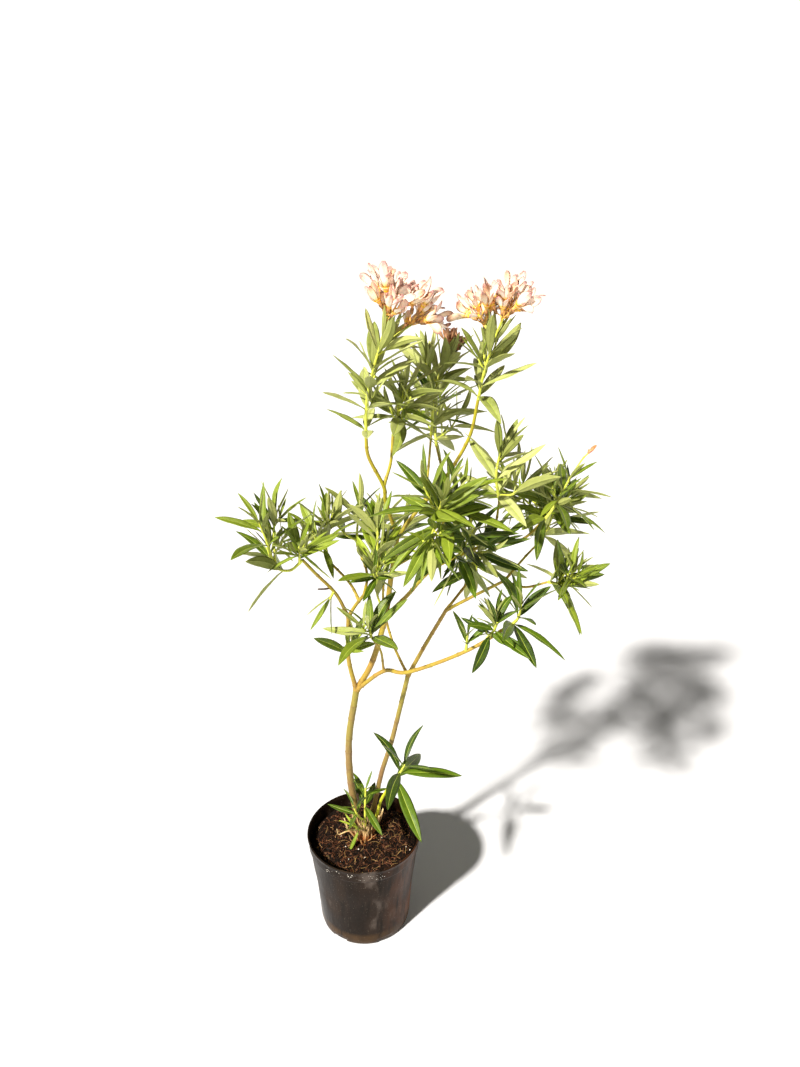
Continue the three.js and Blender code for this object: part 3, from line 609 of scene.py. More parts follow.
def tube_rings(course, distances, sides, radius_of, extra=0):
    """Rings along a course. radius_of gives the radius at a distance and all round."""
    first = course.heading(0)
    flattest = np.eye(3)[min(range(3), key=lambda axis: (abs(first[axis]), -axis))]
    across = np.cross(first, unit(np.cross(first, flattest)))
    angles = np.arange(sides) * 2 * np.pi / sides
    rings = []
    for k, distance in enumerate(distances):
        share = min(1, distance / course.length)
        heading = course.heading(share)
        across = unit(across - heading * np.dot(across, heading))
        side = np.cross(heading, across)
        centre = course.at(share) + heading * extra * ((k == len(distances) - 1) - (k == 0))
        radii = np.broadcast_to(radius_of(distance, angles) + extra, sides)[:, None]
        around = np.outer(np.cos(angles), across) + np.outer(np.sin(angles), side)
        rings.append(centre + radii * around)
    return rings


def limb_radius(course, radii, flare):
    """The plain radius of a limb at a distance from its root."""
    def radius(distance, angles=0):
        foot = max(0, 1 - distance / FOOT_HEIGHT)
        return radii[0] + (radii[1] - radii[0]) * distance / course.length + flare * foot * foot
    return radius


def node_places(length, random, spacing=NODE_SPACING):
    """Where the nodes of a shoot sit, each with its own turn about the shoot."""
    places = []
    distance = random.uniform(6, spacing[0])
    turn = random.uniform(0, 2 * math.pi)
    while distance < length - 3:
        places.append((distance, turn))
        distance += random.uniform(*spacing)
        turn += math.pi / 3
    return places


def scarred(plain, nodes, rise=NODE_RISE, scar=SCAR_RISE, collar=COLLAR, furrow=0.0):
    """A radius with a ring at each node, three leaf scars on it, and a collar at its root."""
    def radius(distance, angles):
        bare = plain(distance)
        found = np.full(len(angles), bare)
        found += bare * collar * math.exp(-((distance / COLLAR_LENGTH) ** 2))
        for place, turn in nodes:
            off = (distance - place) / 1.5
            if abs(off) > 3:
                continue
            found += rise * math.exp(-off * off)
            for i in range(3):
                swing = np.angle(np.exp(1j * (angles - turn - i * 2 * math.pi / 3)))
                hollow = np.exp(-((swing / 0.45) ** 2))
                found += scar * hollow * math.exp(-(((distance - place + 0.8) / 1.1) ** 2))
        if furrow:
            for k, angle in enumerate(angles):
                spot = (math.cos(angle) * 2.1, math.sin(angle) * 2.1, distance * 0.045)
                found[k] += furrow * noise.noise(Vector(spot) * 1.6)
        return found
    return radius


def near_node(distances, nodes, sides):
    """How close each point is to a node, from 0 to 1, for the brown of its ring."""
    close = [
        max([math.exp(-(((distance - place) / 1.4) ** 2)) for place, _ in nodes] + [0])
        for distance in distances
    ]
    return np.repeat(np.array(close)[:, None], sides, axis=1)


def mark_of(tree, name):
    """The number that a skin carries at each point under a name."""
    mark = tree.nodes.new("ShaderNodeAttribute")
    mark.attribute_name = name
    return mark.outputs["Fac"]


def wood(name, young, old, ring, grain, heights=(0, 1)):
    """Bark in patches, more and more like young wood between two heights, brown at its rings."""
    material, tree, shader = material_of(name, 0.55, Specular_IOR_Level=0.4)
    rise = ranged(tree, place_along(tree, "Z"), heights[0] * MM, heights[1] * MM, 0, 0.6)
    patch = ranged(tree, grains(tree, BARK_PATCH, 4, (1, 1, 0.5)), 0.38, 0.62, 0, 0.4)
    drift = spread(tree, worked(tree, "ADD", rise, patch), [old, young], 0, 1)
    streaks = ranged(tree, grains(tree, grain, 6, (1, 1, 0.12)), 0.5, 0.72, 0, 0.4)
    streaked = blended(tree, streaks, drift, paint(*[value * 0.7 for value in old]))
    amount = worked(tree, "MULTIPLY", mark_of(tree, "ring"), RING_BROWN)
    tree.links.new(blended(tree, amount, streaked, paint(*ring)), shader.inputs["Base Color"])
    embossed(tree, shader, grains(tree, grain * 0.7, 6, (1, 1, 0.2)), BARK_RELIEF)
    return material


barks = {
    "stem": wood("stem_bark", *STEM_BARK),
    "sucker": wood("sucker_bark", *SUCKER_BARK),
    "bough": wood("bough_bark", *BOUGH_BARK),
}
bark_random = np.random.default_rng(3)
courses = {}
for name, path, radii, flare in LIMBS:
    course = Course(path)
    courses[name] = course
    nodes = node_places(course.length, bark_random)
    is_stem = flare > 0
    radius = scarred(limb_radius(course, radii, flare), nodes, STEM_RISE if is_stem else NODE_RISE,
                     collar=0 if is_stem else COLLAR,
                     furrow=STEM_FURROW if is_stem else BOUGH_FURROW)
    distances = even_steps(course.length, BARK_STEP)
    skin = Skin("ring")
    skin.add(tube_rings(course, distances, BARK_SIDES, radius),
             ring=near_node(distances, nodes, BARK_SIDES))
    bark = "sucker" if name == "stem_sucker" else "stem" if is_stem else "bough"
    limb = skin.made(name + "_bark", barks[bark])
    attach(limb, "root")
    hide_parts(name)

# ---------------------------------------------------------------- dead stubs round the foot
# What is left of suckers that were snapped off or died back: pale, dry, split stubs that stand
# in the orange fibre of the root crown, one long dead twig that leans out, and a dark one above.
# The thin dead stick beside the left stem is dark brown partly for its dead wood and partly as
# painted shade, where it stands in the stem's shadow.
CROWN_SPOT = np.array([0.0, 6.0, 173.0])
CROWN_TUFTS = 240
TUFT_LENGTH = (5, 17)
TUFT_RADIUS = (0.25, 0.7)
STRAWS = 52
STRAW_LENGTH = (12, 50)
STRAW_RADIUS = (0.5, 1.1)
STUB_RADIUS = (1.0, 2.0)
STUB_FOOT = 172.0
STUB_SIDES = 9
STUB_STEP = 2
# Each long stub: where it stands, how tall it is, and how far it leans for each step up.
LONG_STUBS = [
    (-12, -4, 46, -0.55, 0.0),
    (-7, -8, 34, -0.3, -0.25),
    (1, -10, 52, 0.0, -0.1),
    (6, -8, 40, 0.12, -0.15),
    (10, -2, 46, 0.2, 0.05),
    (-3, -2, 50, -0.1, 0.05),
    (15, 6, 40, 0.35, 0.1),
    (18, 18, 52, 0.25, 0.15),
    (22, 30, 30, 0.45, 0.3),
    (-14, 12, 28, -0.5, 0.2),
]
DEAD_TWIG = [(-10, 4, 176), (-20, -2, 188), (-31, -6, 191), (-44, -9, 187), (-47, -10, 199)]
SIDE_TWIG = [(-20, -2, 188), (-24, -9, 199), (-31, -14, 208)]
# A thin dead stick beside the left stem, made dark partly as painted shade.
SHADED_DEAD_STICK = [(0, 10, 172), (-6, 4, 226), (-9, -2, 272)]
DARK_STUB = [(-38, -58, 699), (-46, -63, 700), (-54, -67, 702)]
# What each face of the stubs is made of, and the barks of the three: as for the limbs.
PALE, DARK_AND_SHADED, FIBRE = 0, 1, 2
DEAD_WOOD = ((224, 200, 150), (176, 116, 60), (130, 92, 52), 1.6, (176, 200))
# The dark dead wood: partly its own dark brown and partly painted shade.
DARK_DEAD_WOOD_AND_SHADE = ((66, 42, 28), (46, 30, 22), (34, 22, 16), 1.6)
CROWN_FIBRE = ((204, 112, 48), (158, 76, 30), (110, 52, 22), 1.2)
stub_random = np.random.default_rng(8)
stubs = Skin("ring")


def dry_stub(path, radii, stuff):
    """A dead piece of shoot with a ragged end, which starts inside what carries it."""
    course = Course(path)
    distances = even_steps(course.length, STUB_STEP)
    ragged = stub_random.uniform(0.55, 1.15, STUB_SIDES)

    def radius(distance, angles):
        share = distance / course.length
        plain = radii[0] + (radii[1] - radii[0]) * share
        return plain * (1 + (ragged - 1) * max(0, share - 0.6) / 0.4)
    rings = tube_rings(course, distances, STUB_SIDES, radius)
    splinters = stub_random.uniform(-1.5, 2.5, STUB_SIDES)
    rings[-1] = rings[-1] + np.outer(splinters, course.heading(1))
    stubs.add(rings, stuff, ring=0)


def leaning_stub(root, height, lean, bend, radii):
    """A stub that stands in the crown and leans by so much for each step up."""
    root = np.array([*root, STUB_FOOT])
    lean = np.array([*lean, 1.0])
    middle = root + lean * height * 0.5 + stub_random.normal(0, bend, 3)
    dry_stub([root, middle, root + lean * height * [0.85, 0.85, 1]], radii, PALE)


for x, y, height, lean_x, lean_y in LONG_STUBS:
    size = stub_random.uniform(*STUB_RADIUS)
    leaning_stub((x, y), height, (lean_x, lean_y), 1.2, (size * 1.2, size))
for _ in range(STRAWS):
    x = CROWN_SPOT[0] + stub_random.normal(-2, 6)
    y = CROWN_SPOT[1] + stub_random.normal(-6, 6)
    lean = (x * 0.03 - 0.1 + stub_random.normal(0, 0.26), stub_random.normal(-0.12, 0.26))
    thick = stub_random.uniform(*STRAW_RADIUS)
    leaning_stub((x, y), stub_random.uniform(*STRAW_LENGTH), lean, 1.6, (thick + 0.3, thick * 0.7))
dry_stub(DEAD_TWIG, (1.8, 0.8), PALE)
dry_stub(SIDE_TWIG, (1.0, 0.5), PALE)
dry_stub(SHADED_DEAD_STICK, (1.5, 1.0), DARK_AND_SHADED)
dry_stub(DARK_STUB, (1.5, 1.2), DARK_AND_SHADED)
for _ in range(CROWN_TUFTS):
    turn = stub_random.uniform(0, 2 * math.pi)
    reach = abs(stub_random.normal(0, 7))
    foot = CROWN_SPOT + [reach * math.cos(turn), reach * math.sin(turn) - 7, 2 - reach * 0.12]
    out = np.array([math.cos(turn), math.sin(turn), stub_random.uniform(0.8, 3)])
    tip = foot + unit(out) * stub_random.uniform(*TUFT_LENGTH)
    middle = (foot + tip) / 2 + stub_random.normal(0, 1.1, 3)
    width = stub_random.uniform(*TUFT_RADIUS)
    rings = strand_rings([foot, middle, tip], [width, width * 0.8, width * 0.3], 5)
    stubs.add(rings, stub_random.choice([FIBRE, FIBRE, FIBRE, PALE]), ring=0)

dead_wood = wood("dead_wood", *DEAD_WOOD)
dead_wood_dark_and_shaded = wood("dead_wood_dark_and_shaded", *DARK_DEAD_WOOD_AND_SHADE)
crown_fibre = wood("crown_fibre", *CROWN_FIBRE)
stubs_piece = stubs.made("dead_stubs", dead_wood, dead_wood_dark_and_shaded, crown_fibre)
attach(stubs_piece, "root")

# ---------------------------------------------------------------- the green twigs
# The leafy ends of the boughs. Each mass of leaves grows from one shoot that goes on from its
# limb, with side shoots and small sprigs: soft green wood with close, fresh leaf scars.
LEAF_LENGTH = 82


def lead(path, whorls):
    """The shoot that goes on from a limb, with the whorls of leaves near its tip."""
    return {"path": path, "whorls": whorls}


def side(at, path, whorls, **more):
    """A shoot that leaves the lead at a share of its length. It may hold flowers or a bud."""
    return {"at": at, "path": path, "whorls": whorls, **more}


def foliage(name, seed, shoots, spurs=(0, 0), sprigs=0, leaf=LEAF_LENGTH, openness=1):
    """A mass: the seed of its rule, its shoots, the seed and number of its spurs, its number of
    sprigs, and how long its leaves are and how widely they open."""
    return {"name": "foliage_" + name, "seed": seed, "shoots": shoots, "spurs": spurs,
            "sprigs": sprigs, "leaf": leaf, "openness": openness}


MASSES = [
    foliage("left_outer", 171, spurs=(20, 9), openness=0.8, shoots=[
        lead([(-72, -86, 757), (-91, -86, 741), (-112, -83, 746), (-122, -80, 774)], 3),
        side(0.62, [(-120, -92, 790), (-128, -98, 822)], 3),
        side(0.6, [(-113, -68, 790), (-109, -60, 820)], 2),
        side(0.08, [(-74, -100, 784)], 2),
    ]),
    foliage("left_mid", 44, spurs=(47, 7), openness=0.8, shoots=[
        lead([(-44, 15, 707), (-50, 26, 730), (-47, 38, 776)], 3),
        side(0.25, [(-60, 12, 740), (-68, 5, 762)], 2),
        side(0.5, [(-38, 52, 766)], 2),
    ]),
    foliage("left_front", 78, spurs=(8, 10), leaf=92, openness=0.8, shoots=[
        lead([(24, -76, 712), (31, -82, 724), (32, -78, 763), (33, -70, 800)], 4),
    ]),
    foliage("left_back", 76, leaf=92, shoots=[
        lead([(-3, 50, 718), (-4, 72, 738), (0, 90, 770)], 3),
        side(0.15, [(-21, 60, 733), (-37, 70, 748)], 2),
    ]),
    foliage("left_low", 59, spurs=(9, 2), leaf=81, openness=0.8, shoots=[
        lead([(-16, -33, 571), (-13, -50, 592)], 3),
    ]),
    foliage("left_spur", 24, shoots=[
        lead([(-33, -54, 692), (-39, -63, 683)], 1),
    ]),
    foliage("centre_low", 4, spurs=(21, 1), leaf=92, openness=0.8, shoots=[
        lead([(22, -78, 628), (18, -84, 652)], 3),
    ]),
    foliage("centre", 84, leaf=92, shoots=[
        lead([(42, -20, 634), (31, 2, 648), (25, 6, 674)], 2),
    ]),
    foliage("cross_node", 175, leaf=58, openness=0.8, shoots=[
        lead([(158, -115, 628), (159, -127, 664)], 2),
    ]),
    foliage("cross_side", 123, spurs=(33, 4), leaf=74, shoots=[
        lead([(187, -118, 650), (194, -135, 673), (197, -144, 690)], 3),
    ]),
    foliage("cross_tip", 5, spurs=(53, 1), leaf=92, openness=0.8, shoots=[
        lead([(221, -120, 674), (228, -124, 686), (230, -130, 706)], 4),
    ]),
    foliage("right_back", 74, spurs=(8, 10), leaf=92, openness=1.2, shoots=[
        lead([(183, 60, 664), (193, 72, 690), (200, 84, 720)], 4),
        side(0.2, [(171, 75, 689), (162, 96, 718)], 2),
    ]),
    foliage("right_far", 42, spurs=(24, 10), sprigs=1, leaf=92, shoots=[
        lead([(277, 20, 738), (289, 30, 755), (299, 46, 774)], 3),
    ]),
    foliage("right_tip", 60, spurs=(29, 10), openness=0.8, shoots=[
        lead([(279, -60, 710), (294, -72, 713), (304, -84, 722), (307, -88, 742)], 4),
        side(0.3, [(296, -58, 716), (306, -48, 722)], 2),
    ]),
    foliage("gold_back", 63, spurs=(8, 8), leaf=92, openness=1.2, shoots=[
        lead([(276, 50, 774), (291, 62, 792), (298, 76, 814)], 2),
        side(0.2, [(269, 80, 787), (259, 100, 806)], 2),
        side(0.05, [(250, 60, 800), (240, 64, 822)], 2),
    ]),
    foliage("gold_far", 88, spurs=(56, 5), openness=1.2, shoots=[
        lead([(268, -42, 797), (280, -40, 814), (294, -36, 841), (304, -34, 862)], 5),
        side(0.93, [(319, -28, 885), (330, -25, 896)], 0, bud=18),
    ]),
    foliage("gold_up", 73, spurs=(9, 1), leaf=92, openness=0.8, shoots=[
        lead([(203, -52, 834), (196, -58, 870), (199, -61, 906)], 4),
        side(0.1, [(222, -50, 842), (238, -44, 856)], 2),
    ]),
    foliage("front", 8, spurs=(60, 8), sprigs=1, leaf=92, openness=0.8, shoots=[
        lead([(117, -115, 822), (108, -125, 850), (95, -131, 882)], 5),
        side(0.02, [(108, -140, 826), (104, -158, 822)], 2),
    ]),
    foliage("front_right", 53, spurs=(55, 3), shoots=[
        lead([(132, -90, 831), (140, -97, 852), (148, -101, 872)], 4),
    ]),
    foliage("gold", 42, spurs=(59, 6), sprigs=1, leaf=92, openness=0.8, shoots=[
        lead([(150, -50, 749), (160, -62, 778), (168, -72, 800)], 3),
        side(0.15, [(170, -76, 764), (188, -88, 772)], 2),
        side(0.12, [(146, -80, 762), (140, -100, 768)], 2),
    ]),
    foliage("top_left", 65, spurs=(60, 5), openness=0.6, shoots=[
        lead([(18, -56, 928), (20, -62, 975), (29, -66, 1018), (42, -64, 1060)], 6),
        side(0.93, [(45, -63, 1074), (48, -62, 1087)], 0, flowers=8),
        side(0.9, [(60, -56, 1062), (78, -50, 1073)], 0, flowers=5),
    ]),
    foliage("top_mid", 56, spurs=(60, 9), sprigs=1, leaf=92, openness=1.2, shoots=[
        lead([(54, -24, 918), (64, -14, 954), (72, -6, 982)], 3),
    ]),
    foliage("top_right", 66, spurs=(48, 5), openness=0.6, shoots=[
        lead([(171, -20, 968), (177, -27, 1008), (187, -33, 1050)], 5),
        side(0.9, [(181, -28, 1057), (176, -22, 1070)], 0, flowers=5),
        side(0.93, [(192, -34, 1064), (198, -34, 1080)], 0, flowers=6),
    ]),
    foliage("centre_top", 69, spurs=(40, 8), sprigs=1, openness=0.6, shoots=[
        lead([(110, 45, 900), (114, 51, 955), (124, 52, 1004)], 4),
        side(0.93, [(128, 54, 1012), (132, 55, 1020)], 0, flowers=6, flower=0.6),
    ]),
    foliage("rear", 1, leaf=92, shoots=[
        lead([(42, 110, 666), (38, 122, 700), (40, 130, 738)], 3),
        side(0.15, [(60, 134, 696), (72, 148, 716)], 2),
    ]),
    foliage("rear_top", 30, spurs=(8, 10), sprigs=1, leaf=92, openness=1.2, shoots=[
        lead([(121, 110, 863), (118, 124, 890), (112, 132, 922)], 3),
        side(0.15, [(142, 130, 884), (156, 142, 902)], 2),
    ]),
    foliage("sucker", 208, leaf=110, openness=1.3, shoots=[
        lead([(56, -20, 320), (64, -27, 338), (72, -31, 358)], 3),
    ]),
    foliage("basal", 99, spurs=(51, 3), leaf=58, openness=1.2, shoots=[
        lead([(4, -5, SOIL_FOOT), (3, -7, 235), (5, -9, 290)], 3),
        side(0.35, [(-9, -12, 232), (-17, -14, 256)], 2),
    ]),
]
# The bark of the green twigs, as for the limbs.
TWIG_BARK = ((206, 214, 84), (164, 184, 62), (172, 150, 66), 1.8)
TWIG_SIDES = 4
TWIG_RADIUS = 2.1
TWIG_STEP = 24
TWIG_END_RADIUS = 1.4
STALK_RADIUS = 1.1
SPRIG_LENGTH = (22, 40)
SPRIG_ANGLE = (35, 60)
FINE_TWIG_STEP = 1.8
FINE_TWIG_SIDES = 12
FINE_NODES = (9, 17)
FINE_NODE_RISE = 0.16
FINE_SCAR_RISE = 0.3
FINE_COLLAR = 0.15


def seeded(seed):
    """The same run of numbers between 0 and 1 for the same seed, as the frame's solids use."""
    state = seed
    while True:
        state = (state + 0x6D2B79F5) & 0xFFFFFFFF
        mixed = (state ^ (state >> 15)) * (1 | state) & 0xFFFFFFFF
        mixed = (mixed + ((mixed ^ (mixed >> 7)) * (61 | mixed) & 0xFFFFFFFF)) & 0xFFFFFFFF ^ mixed
        yield ((mixed ^ (mixed >> 14)) & 0xFFFFFFFF) / 4294967296


def square_to(axis, angle):
    """A direction square to an axis, turned by an angle about it."""
    reference = np.array([1.0, 0, 0]) if abs(axis[1]) > 0.9 else np.array([0, 1.0, 0])
    first = unit(reference - axis * np.dot(axis, reference))
    return first * math.cos(angle) + np.cross(axis, first) * math.sin(angle)


def mix(pair, share):
    """A number between two, at a share of the way."""
    return pair[0] + (pair[1] - pair[0]) * share


def shoots_of(mass, draw):
    """The courses of a mass: its lead, its side shoots, and the sprigs of the seeded rule."""
    first, *others = mass["shoots"]
    main = Course(first["path"])
    shoots = [{**first, "course": main, "start": TWIG_RADIUS}]
    for shoot in others:
        course = Course([main.at(shoot["at"]), *shoot["path"]])
        start = TWIG_RADIUS * 0.85 if shoot["whorls"] else STALK_RADIUS * 1.3
        shoots.append({**shoot, "course": course, "start": start})
    for _ in range(mass["sprigs"]):
        share = 0.25 + 0.6 * next(draw)
        turn = 2 * math.pi * next(draw)
        spread_angle = math.radians(mix(SPRIG_ANGLE, next(draw)))
        length = mix(SPRIG_LENGTH, next(draw))
        root, axis = main.at(share), main.heading(share)
        heading = axis * math.cos(spread_angle) + square_to(axis, turn) * math.sin(spread_angle)
        bend = root + heading * length * 0.5
        tip = bend + unit(heading + UP) * length * 0.5
        course = Course([root, bend, tip])
        shoots.append({"whorls": 2, "course": course, "start": TWIG_RADIUS * 0.75})
    return shoots


def twig_radius(shoot):
    """The plain radius of a shoot at a distance from its root."""
    end = STALK_RADIUS if shoot.get("bud") else TWIG_END_RADIUS
    def radius(distance, angles=0):
        return mix((shoot["start"], end), distance / shoot["course"].length)
    return radius


twig_random = np.random.default_rng(14)
twigs = Skin("ring")
for mass in MASSES:
    mass["draw"] = seeded(mass["seed"])
    mass["grown"] = shoots_of(mass, mass["draw"])
    for shoot in mass["grown"]:
        course = shoot["course"]
        nodes = node_places(course.length, twig_random, FINE_NODES)
        plain = twig_radius(shoot)
        radius = scarred(plain, nodes, FINE_NODE_RISE, FINE_SCAR_RISE, FINE_COLLAR)
        distances = even_steps(course.length, FINE_TWIG_STEP)
        twigs.add(tube_rings(course, distances, FINE_TWIG_SIDES, radius),
                  ring=near_node(distances, nodes, FINE_TWIG_SIDES))

green_wood = wood("twig_bark", *TWIG_BARK)
twigs_piece = twigs.made("green_twigs", green_wood)
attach(twigs_piece, "root")
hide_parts(*[mass["name"] for mass in MASSES])

# ---------------------------------------------------------------- the flowers
# Loose heads of funnel flowers at the tips of the top shoots: a thin stalk, a small green calyx,
# an orange tube with a yellow throat and five pale pink petals, some of them already shrivelled.
FLOWER_LENGTH = 52
FLOWER_MOUTH_RADIUS = 10
FLOWER_TUBE_RADIUS = 2.4
FLOWER_HEART = 0.8
PETALS = 5
BUNCH_OPENING = 62
GOLDEN_ANGLE = 137.5
ROOT_DEPTH = 0.6
STALK_SHARE = 0.3
TUBE_SIDES = 20
TUBE_OUTSIDE = [(0.28, 1.2), (0.37, 1.7), (0.46, 2.1), (0.53, 3.0), (0.58, 4.2), (0.62, 5.2)]
TUBE_INSIDE = [(0.62, 4.9), (0.57, 3.9), (0.51, 2.7), (0.44, 1.7), (0.37, 1.0)]
PETAL_START = 0.605
PETAL_REACH = (0.42, 0.6)
PETAL_ACROSS = np.array([-1, -0.7, -0.35, 0, 0.35, 0.7, 1])
PETAL_ROWS = 9
PETAL_THICKNESS = 0.35
FULLNESS = 0.8
FLOWER_RISE = 0.3
HEAD_OPENING = (5, 66)
# What a petal is made of where it isn't pink, and the share of a fresh flower's that are worn.
BROWN_PETAL, WORN_PETAL = 1, 2
WORN_SHARE = 0.2
PETAL_SEAT = 4.4
# What each face of the tubes is made of. A spent tube or throat comes two places later.
STALK, TUBE, THROAT, CALYX = 0, 1, 2, 5
SPENT = 2
# The colours of a petal at its root, in its blush, where it is palest and at its edge.
PINK = ((254, 206, 30), (246, 212, 196), (255, 240, 226), (184, 120, 124))
BROWN = ((180, 110, 46), (140, 98, 70), (184, 138, 100), (96, 60, 50))
WORN = ((250, 198, 50), (232, 190, 158), (250, 226, 200), (156, 102, 98))
STALK_GREEN = [(226, 172, 84), (238, 192, 104)]
TUBE_SALMON = [(238, 158, 98), (252, 204, 134)]
THROAT_GOLD = [(250, 190, 20), (255, 224, 70)]
TUBE_SPENT = [(160, 98, 58), (196, 134, 84)]
THROAT_SPENT = [(150, 92, 40), (190, 130, 60)]
CALYX_GREEN = [(150, 96, 66), (176, 140, 84)]
CALYX_ROWS = [(0.26, 1.0, 0), (0.29, 1.9, 0), (0.33, 2.2, 0.2), (0.37, 2.6, 1)]


def bunch(shoot, draw):
    """The flowers of a head: each with its root, its heading, its length and its mouth."""
    course, count, size = shoot["course"], shoot["flowers"], shoot.get("flower", 1)
    tip, axis = course.at(1), course.heading(1)
    flowers = []
    for i in range(count):
        lean = math.radians(BUNCH_OPENING * math.sqrt(i / count) + 8 * next(draw))
        around = math.radians(GOLDEN_ANGLE * i + 20 * next(draw))
        way = axis * math.cos(lean) + square_to(axis, around) * math.sin(lean)
        heading = unit(way + UP * FLOWER_RISE)
        length = FLOWER_LENGTH * size * (0.8 + 0.35 * next(draw))
        mouth = FLOWER_MOUTH_RADIUS * size * (0.8 + 0.4 * next(draw))
        flowers.append((tip - heading * ROOT_DEPTH, heading, length, mouth, size))
    return flowers


def flower_ring(base, heading, distance, radius, sides=PETALS):
    """A ring of points square to a heading, at a distance from its base."""
    angles = [i * 2 * math.pi / sides for i in range(sides)]
    return np.array([base + heading * distance + square_to(heading, a) * radius for a in angles])


def plain_flower(root, heading, length, mouth):
    """The simple funnel that stands for a flower where leaves keep clear of it."""
    return [
        root[None],
        flower_ring(root, heading, length * 0.55, FLOWER_TUBE_RADIUS),
        flower_ring(root, heading, length, mouth),
        (root + heading * length * FLOWER_HEART)[None],
    ]


def petal_width(v):
    """How wide a petal is at a share of its length: a narrow claw and a round end."""
    grown = 0.38 + 0.62 * math.sin(math.pi / 2 * min(1, v / 0.6))
    return grown if v <= 0.6 else grown * math.sqrt(max(0, 1 - ((v - 0.6) / 0.42) ** 2))


def petal(skin, start, heading, out, length, width, lean, curl, twist, random, stuffs):
    """One petal: a thin cupped blade that leaves the mouth, leans out and curls."""
    tangent = np.cross(heading, out)
    rings, alongs = [], []
    spot = start.copy()
    under = PETAL_ACROSS[-2:0:-1]
    frill = random.uniform(0, 6, 2)
    for row in range(PETAL_ROWS):
        v = row / (PETAL_ROWS - 1)
        angle = lean + curl * v * v
        way = heading * math.cos(angle) + out * math.sin(angle)
        inward = heading * math.sin(angle) - out * math.cos(angle)
        turn = twist * v
        across = tangent * math.cos(turn) + inward * math.sin(turn)
        face = inward * math.cos(turn) - tangent * math.sin(turn)
        half = width / 2 * petal_width(v)
        if row:
            spot = spot + way * length / (PETAL_ROWS - 1)
        wave = 0.16 * half * v * np.sin(PETAL_ACROSS * 5 + frill[0] + v * 4)
        rise = half * 0.34 * PETAL_ACROSS**2 + wave
        top = spot + np.outer(PETAL_ACROSS * half, across) + np.outer(rise, face)
        low_rise = np.interp(under, PETAL_ACROSS, rise) - PETAL_THICKNESS
        low = spot + np.outer(under * half, across) + np.outer(low_rise, face)
        rings.append(np.concatenate([top, low]))
        alongs.append(v)
    across_marks = np.abs(np.concatenate([PETAL_ACROSS, under]))[::-1]
    skin.add(np.array(rings)[:, ::-1], stuffs, along=np.array(alongs)[:, None], across=across_marks)


def flower_stalk(tubes, root, heading, length, sway):
    """The thin stalk that carries a flower, bowed a little to one side."""
    stalk = Course([root, root + heading * length * 0.17 + sway, root + heading * length * STALK_SHARE])
    steps = even_steps(stalk.length, 2.5)
    tubes.add(tube_rings(stalk, steps, 8, lambda d, a: 0.95 - 0.1 * d / stalk.length), STALK)


def flower_tube(tubes, flower, turn, spent):
    """The tube with its throat, lobed at its mouth, and the calyx with five teeth round it."""
    root, heading, length, mouth, size = flower
    first, second = square_to(heading, 0), square_to(heading, math.pi / 2)
    angles = np.arange(TUBE_SIDES) * 2 * np.pi / TUBE_SIDES + turn
    lobed = 1 + 0.05 * np.cos(PETALS * angles)

    def ring(share, radius, teeth=0.0):
        grown = radius * size * (mouth / FLOWER_MOUTH_RADIUS / size) ** 0.5 * lobed
        rise = share * length + teeth * (np.cos(PETALS * angles) * 1.8 + 0.8) * size
        flat = np.outer(np.cos(angles) * grown, first) + np.outer(np.sin(angles) * grown, second)
        return root + flat + np.outer(rise, heading)

    shell = [ring(*row) for row in TUBE_OUTSIDE] + [ring(*row) for row in TUBE_INSIDE]
    kinds = [TUBE] * (len(TUBE_OUTSIDE) - 1) + [THROAT] * len(TUBE_INSIDE)
    tubes.add(shell, np.array(kinds)[:, None] + (SPENT if spent else 0))
    calyx = [ring(*row) for row in CALYX_ROWS]
    calyx += [ring(share, radius - 0.3, teeth) for share, radius, teeth in CALYX_ROWS[::-1]]
    tubes.add(calyx, CALYX)


def bloom(petals, tubes, flower, random):
    """One whole flower on its stalk. A spent one is small, brown and closed."""
    root, heading, length, mouth, size = flower
    spent = size < 1
    turn = random.uniform(0, 2 * math.pi)
    flower_stalk(tubes, root, heading, length, random.normal(0, 0.03, 3) * length)
    flower_tube(tubes, flower, turn, spent)
    closed = random.uniform(0.05, 0.5)
    first, second = square_to(heading, 0), square_to(heading, math.pi / 2)
    for i in range(PETALS):
        angle = turn + i * 2 * math.pi / PETALS
        out = first * math.cos(angle) + second * math.sin(angle)
        start = root + heading * length * PETAL_START + out * PETAL_SEAT * size
        long = length * random.uniform(*PETAL_REACH)
        wide = mouth * random.uniform(0.75, 1.15)
        lean = closed + random.uniform(-0.1, 0.45)
        curl = random.uniform(-1.2, 1.0) - 0.8 * spent
        twist = random.uniform(0.3, 1.3)
        stuff = BROWN_PETAL if spent else WORN_PETAL * int(random.random() < WORN_SHARE)
        petal(petals, start, heading, out, long, wide, lean, curl, twist, random, stuff)


def companions(shoot, random):
    """More flowers that fill a head, a little shorter than the ones that reach its outline."""
    course, size = shoot["course"], shoot.get("flower", 1)
    for _ in range(round(shoot["flowers"] * FULLNESS)):
        lean = math.radians(random.uniform(*HEAD_OPENING))
        around = random.uniform(0, 2 * math.pi)
        axis = course.heading(1)
        way = axis * math.cos(lean) + square_to(axis, around) * math.sin(lean)
        root = course.at(random.uniform(0.75, 1))
        length = FLOWER_LENGTH * size * random.uniform(0.62, 0.92)
        mouth = FLOWER_MOUTH_RADIUS * size * random.uniform(0.8, 1.1)
        yield root, unit(way + UP * FLOWER_RISE), length, mouth, size


flower_random = np.random.default_rng(31)
petals, tubes = Skin("along", "across"), Skin()
for mass in MASSES:
    mass["flowers"] = []
    for shoot in mass["grown"]:
        if not shoot.get("flowers"):
            continue
        heads = bunch(shoot, mass["draw"])
        mass["flowers"] += heads
        for flower in [*heads, *companions(shoot, flower_random)]:
            bloom(petals, tubes, flower, flower_random)


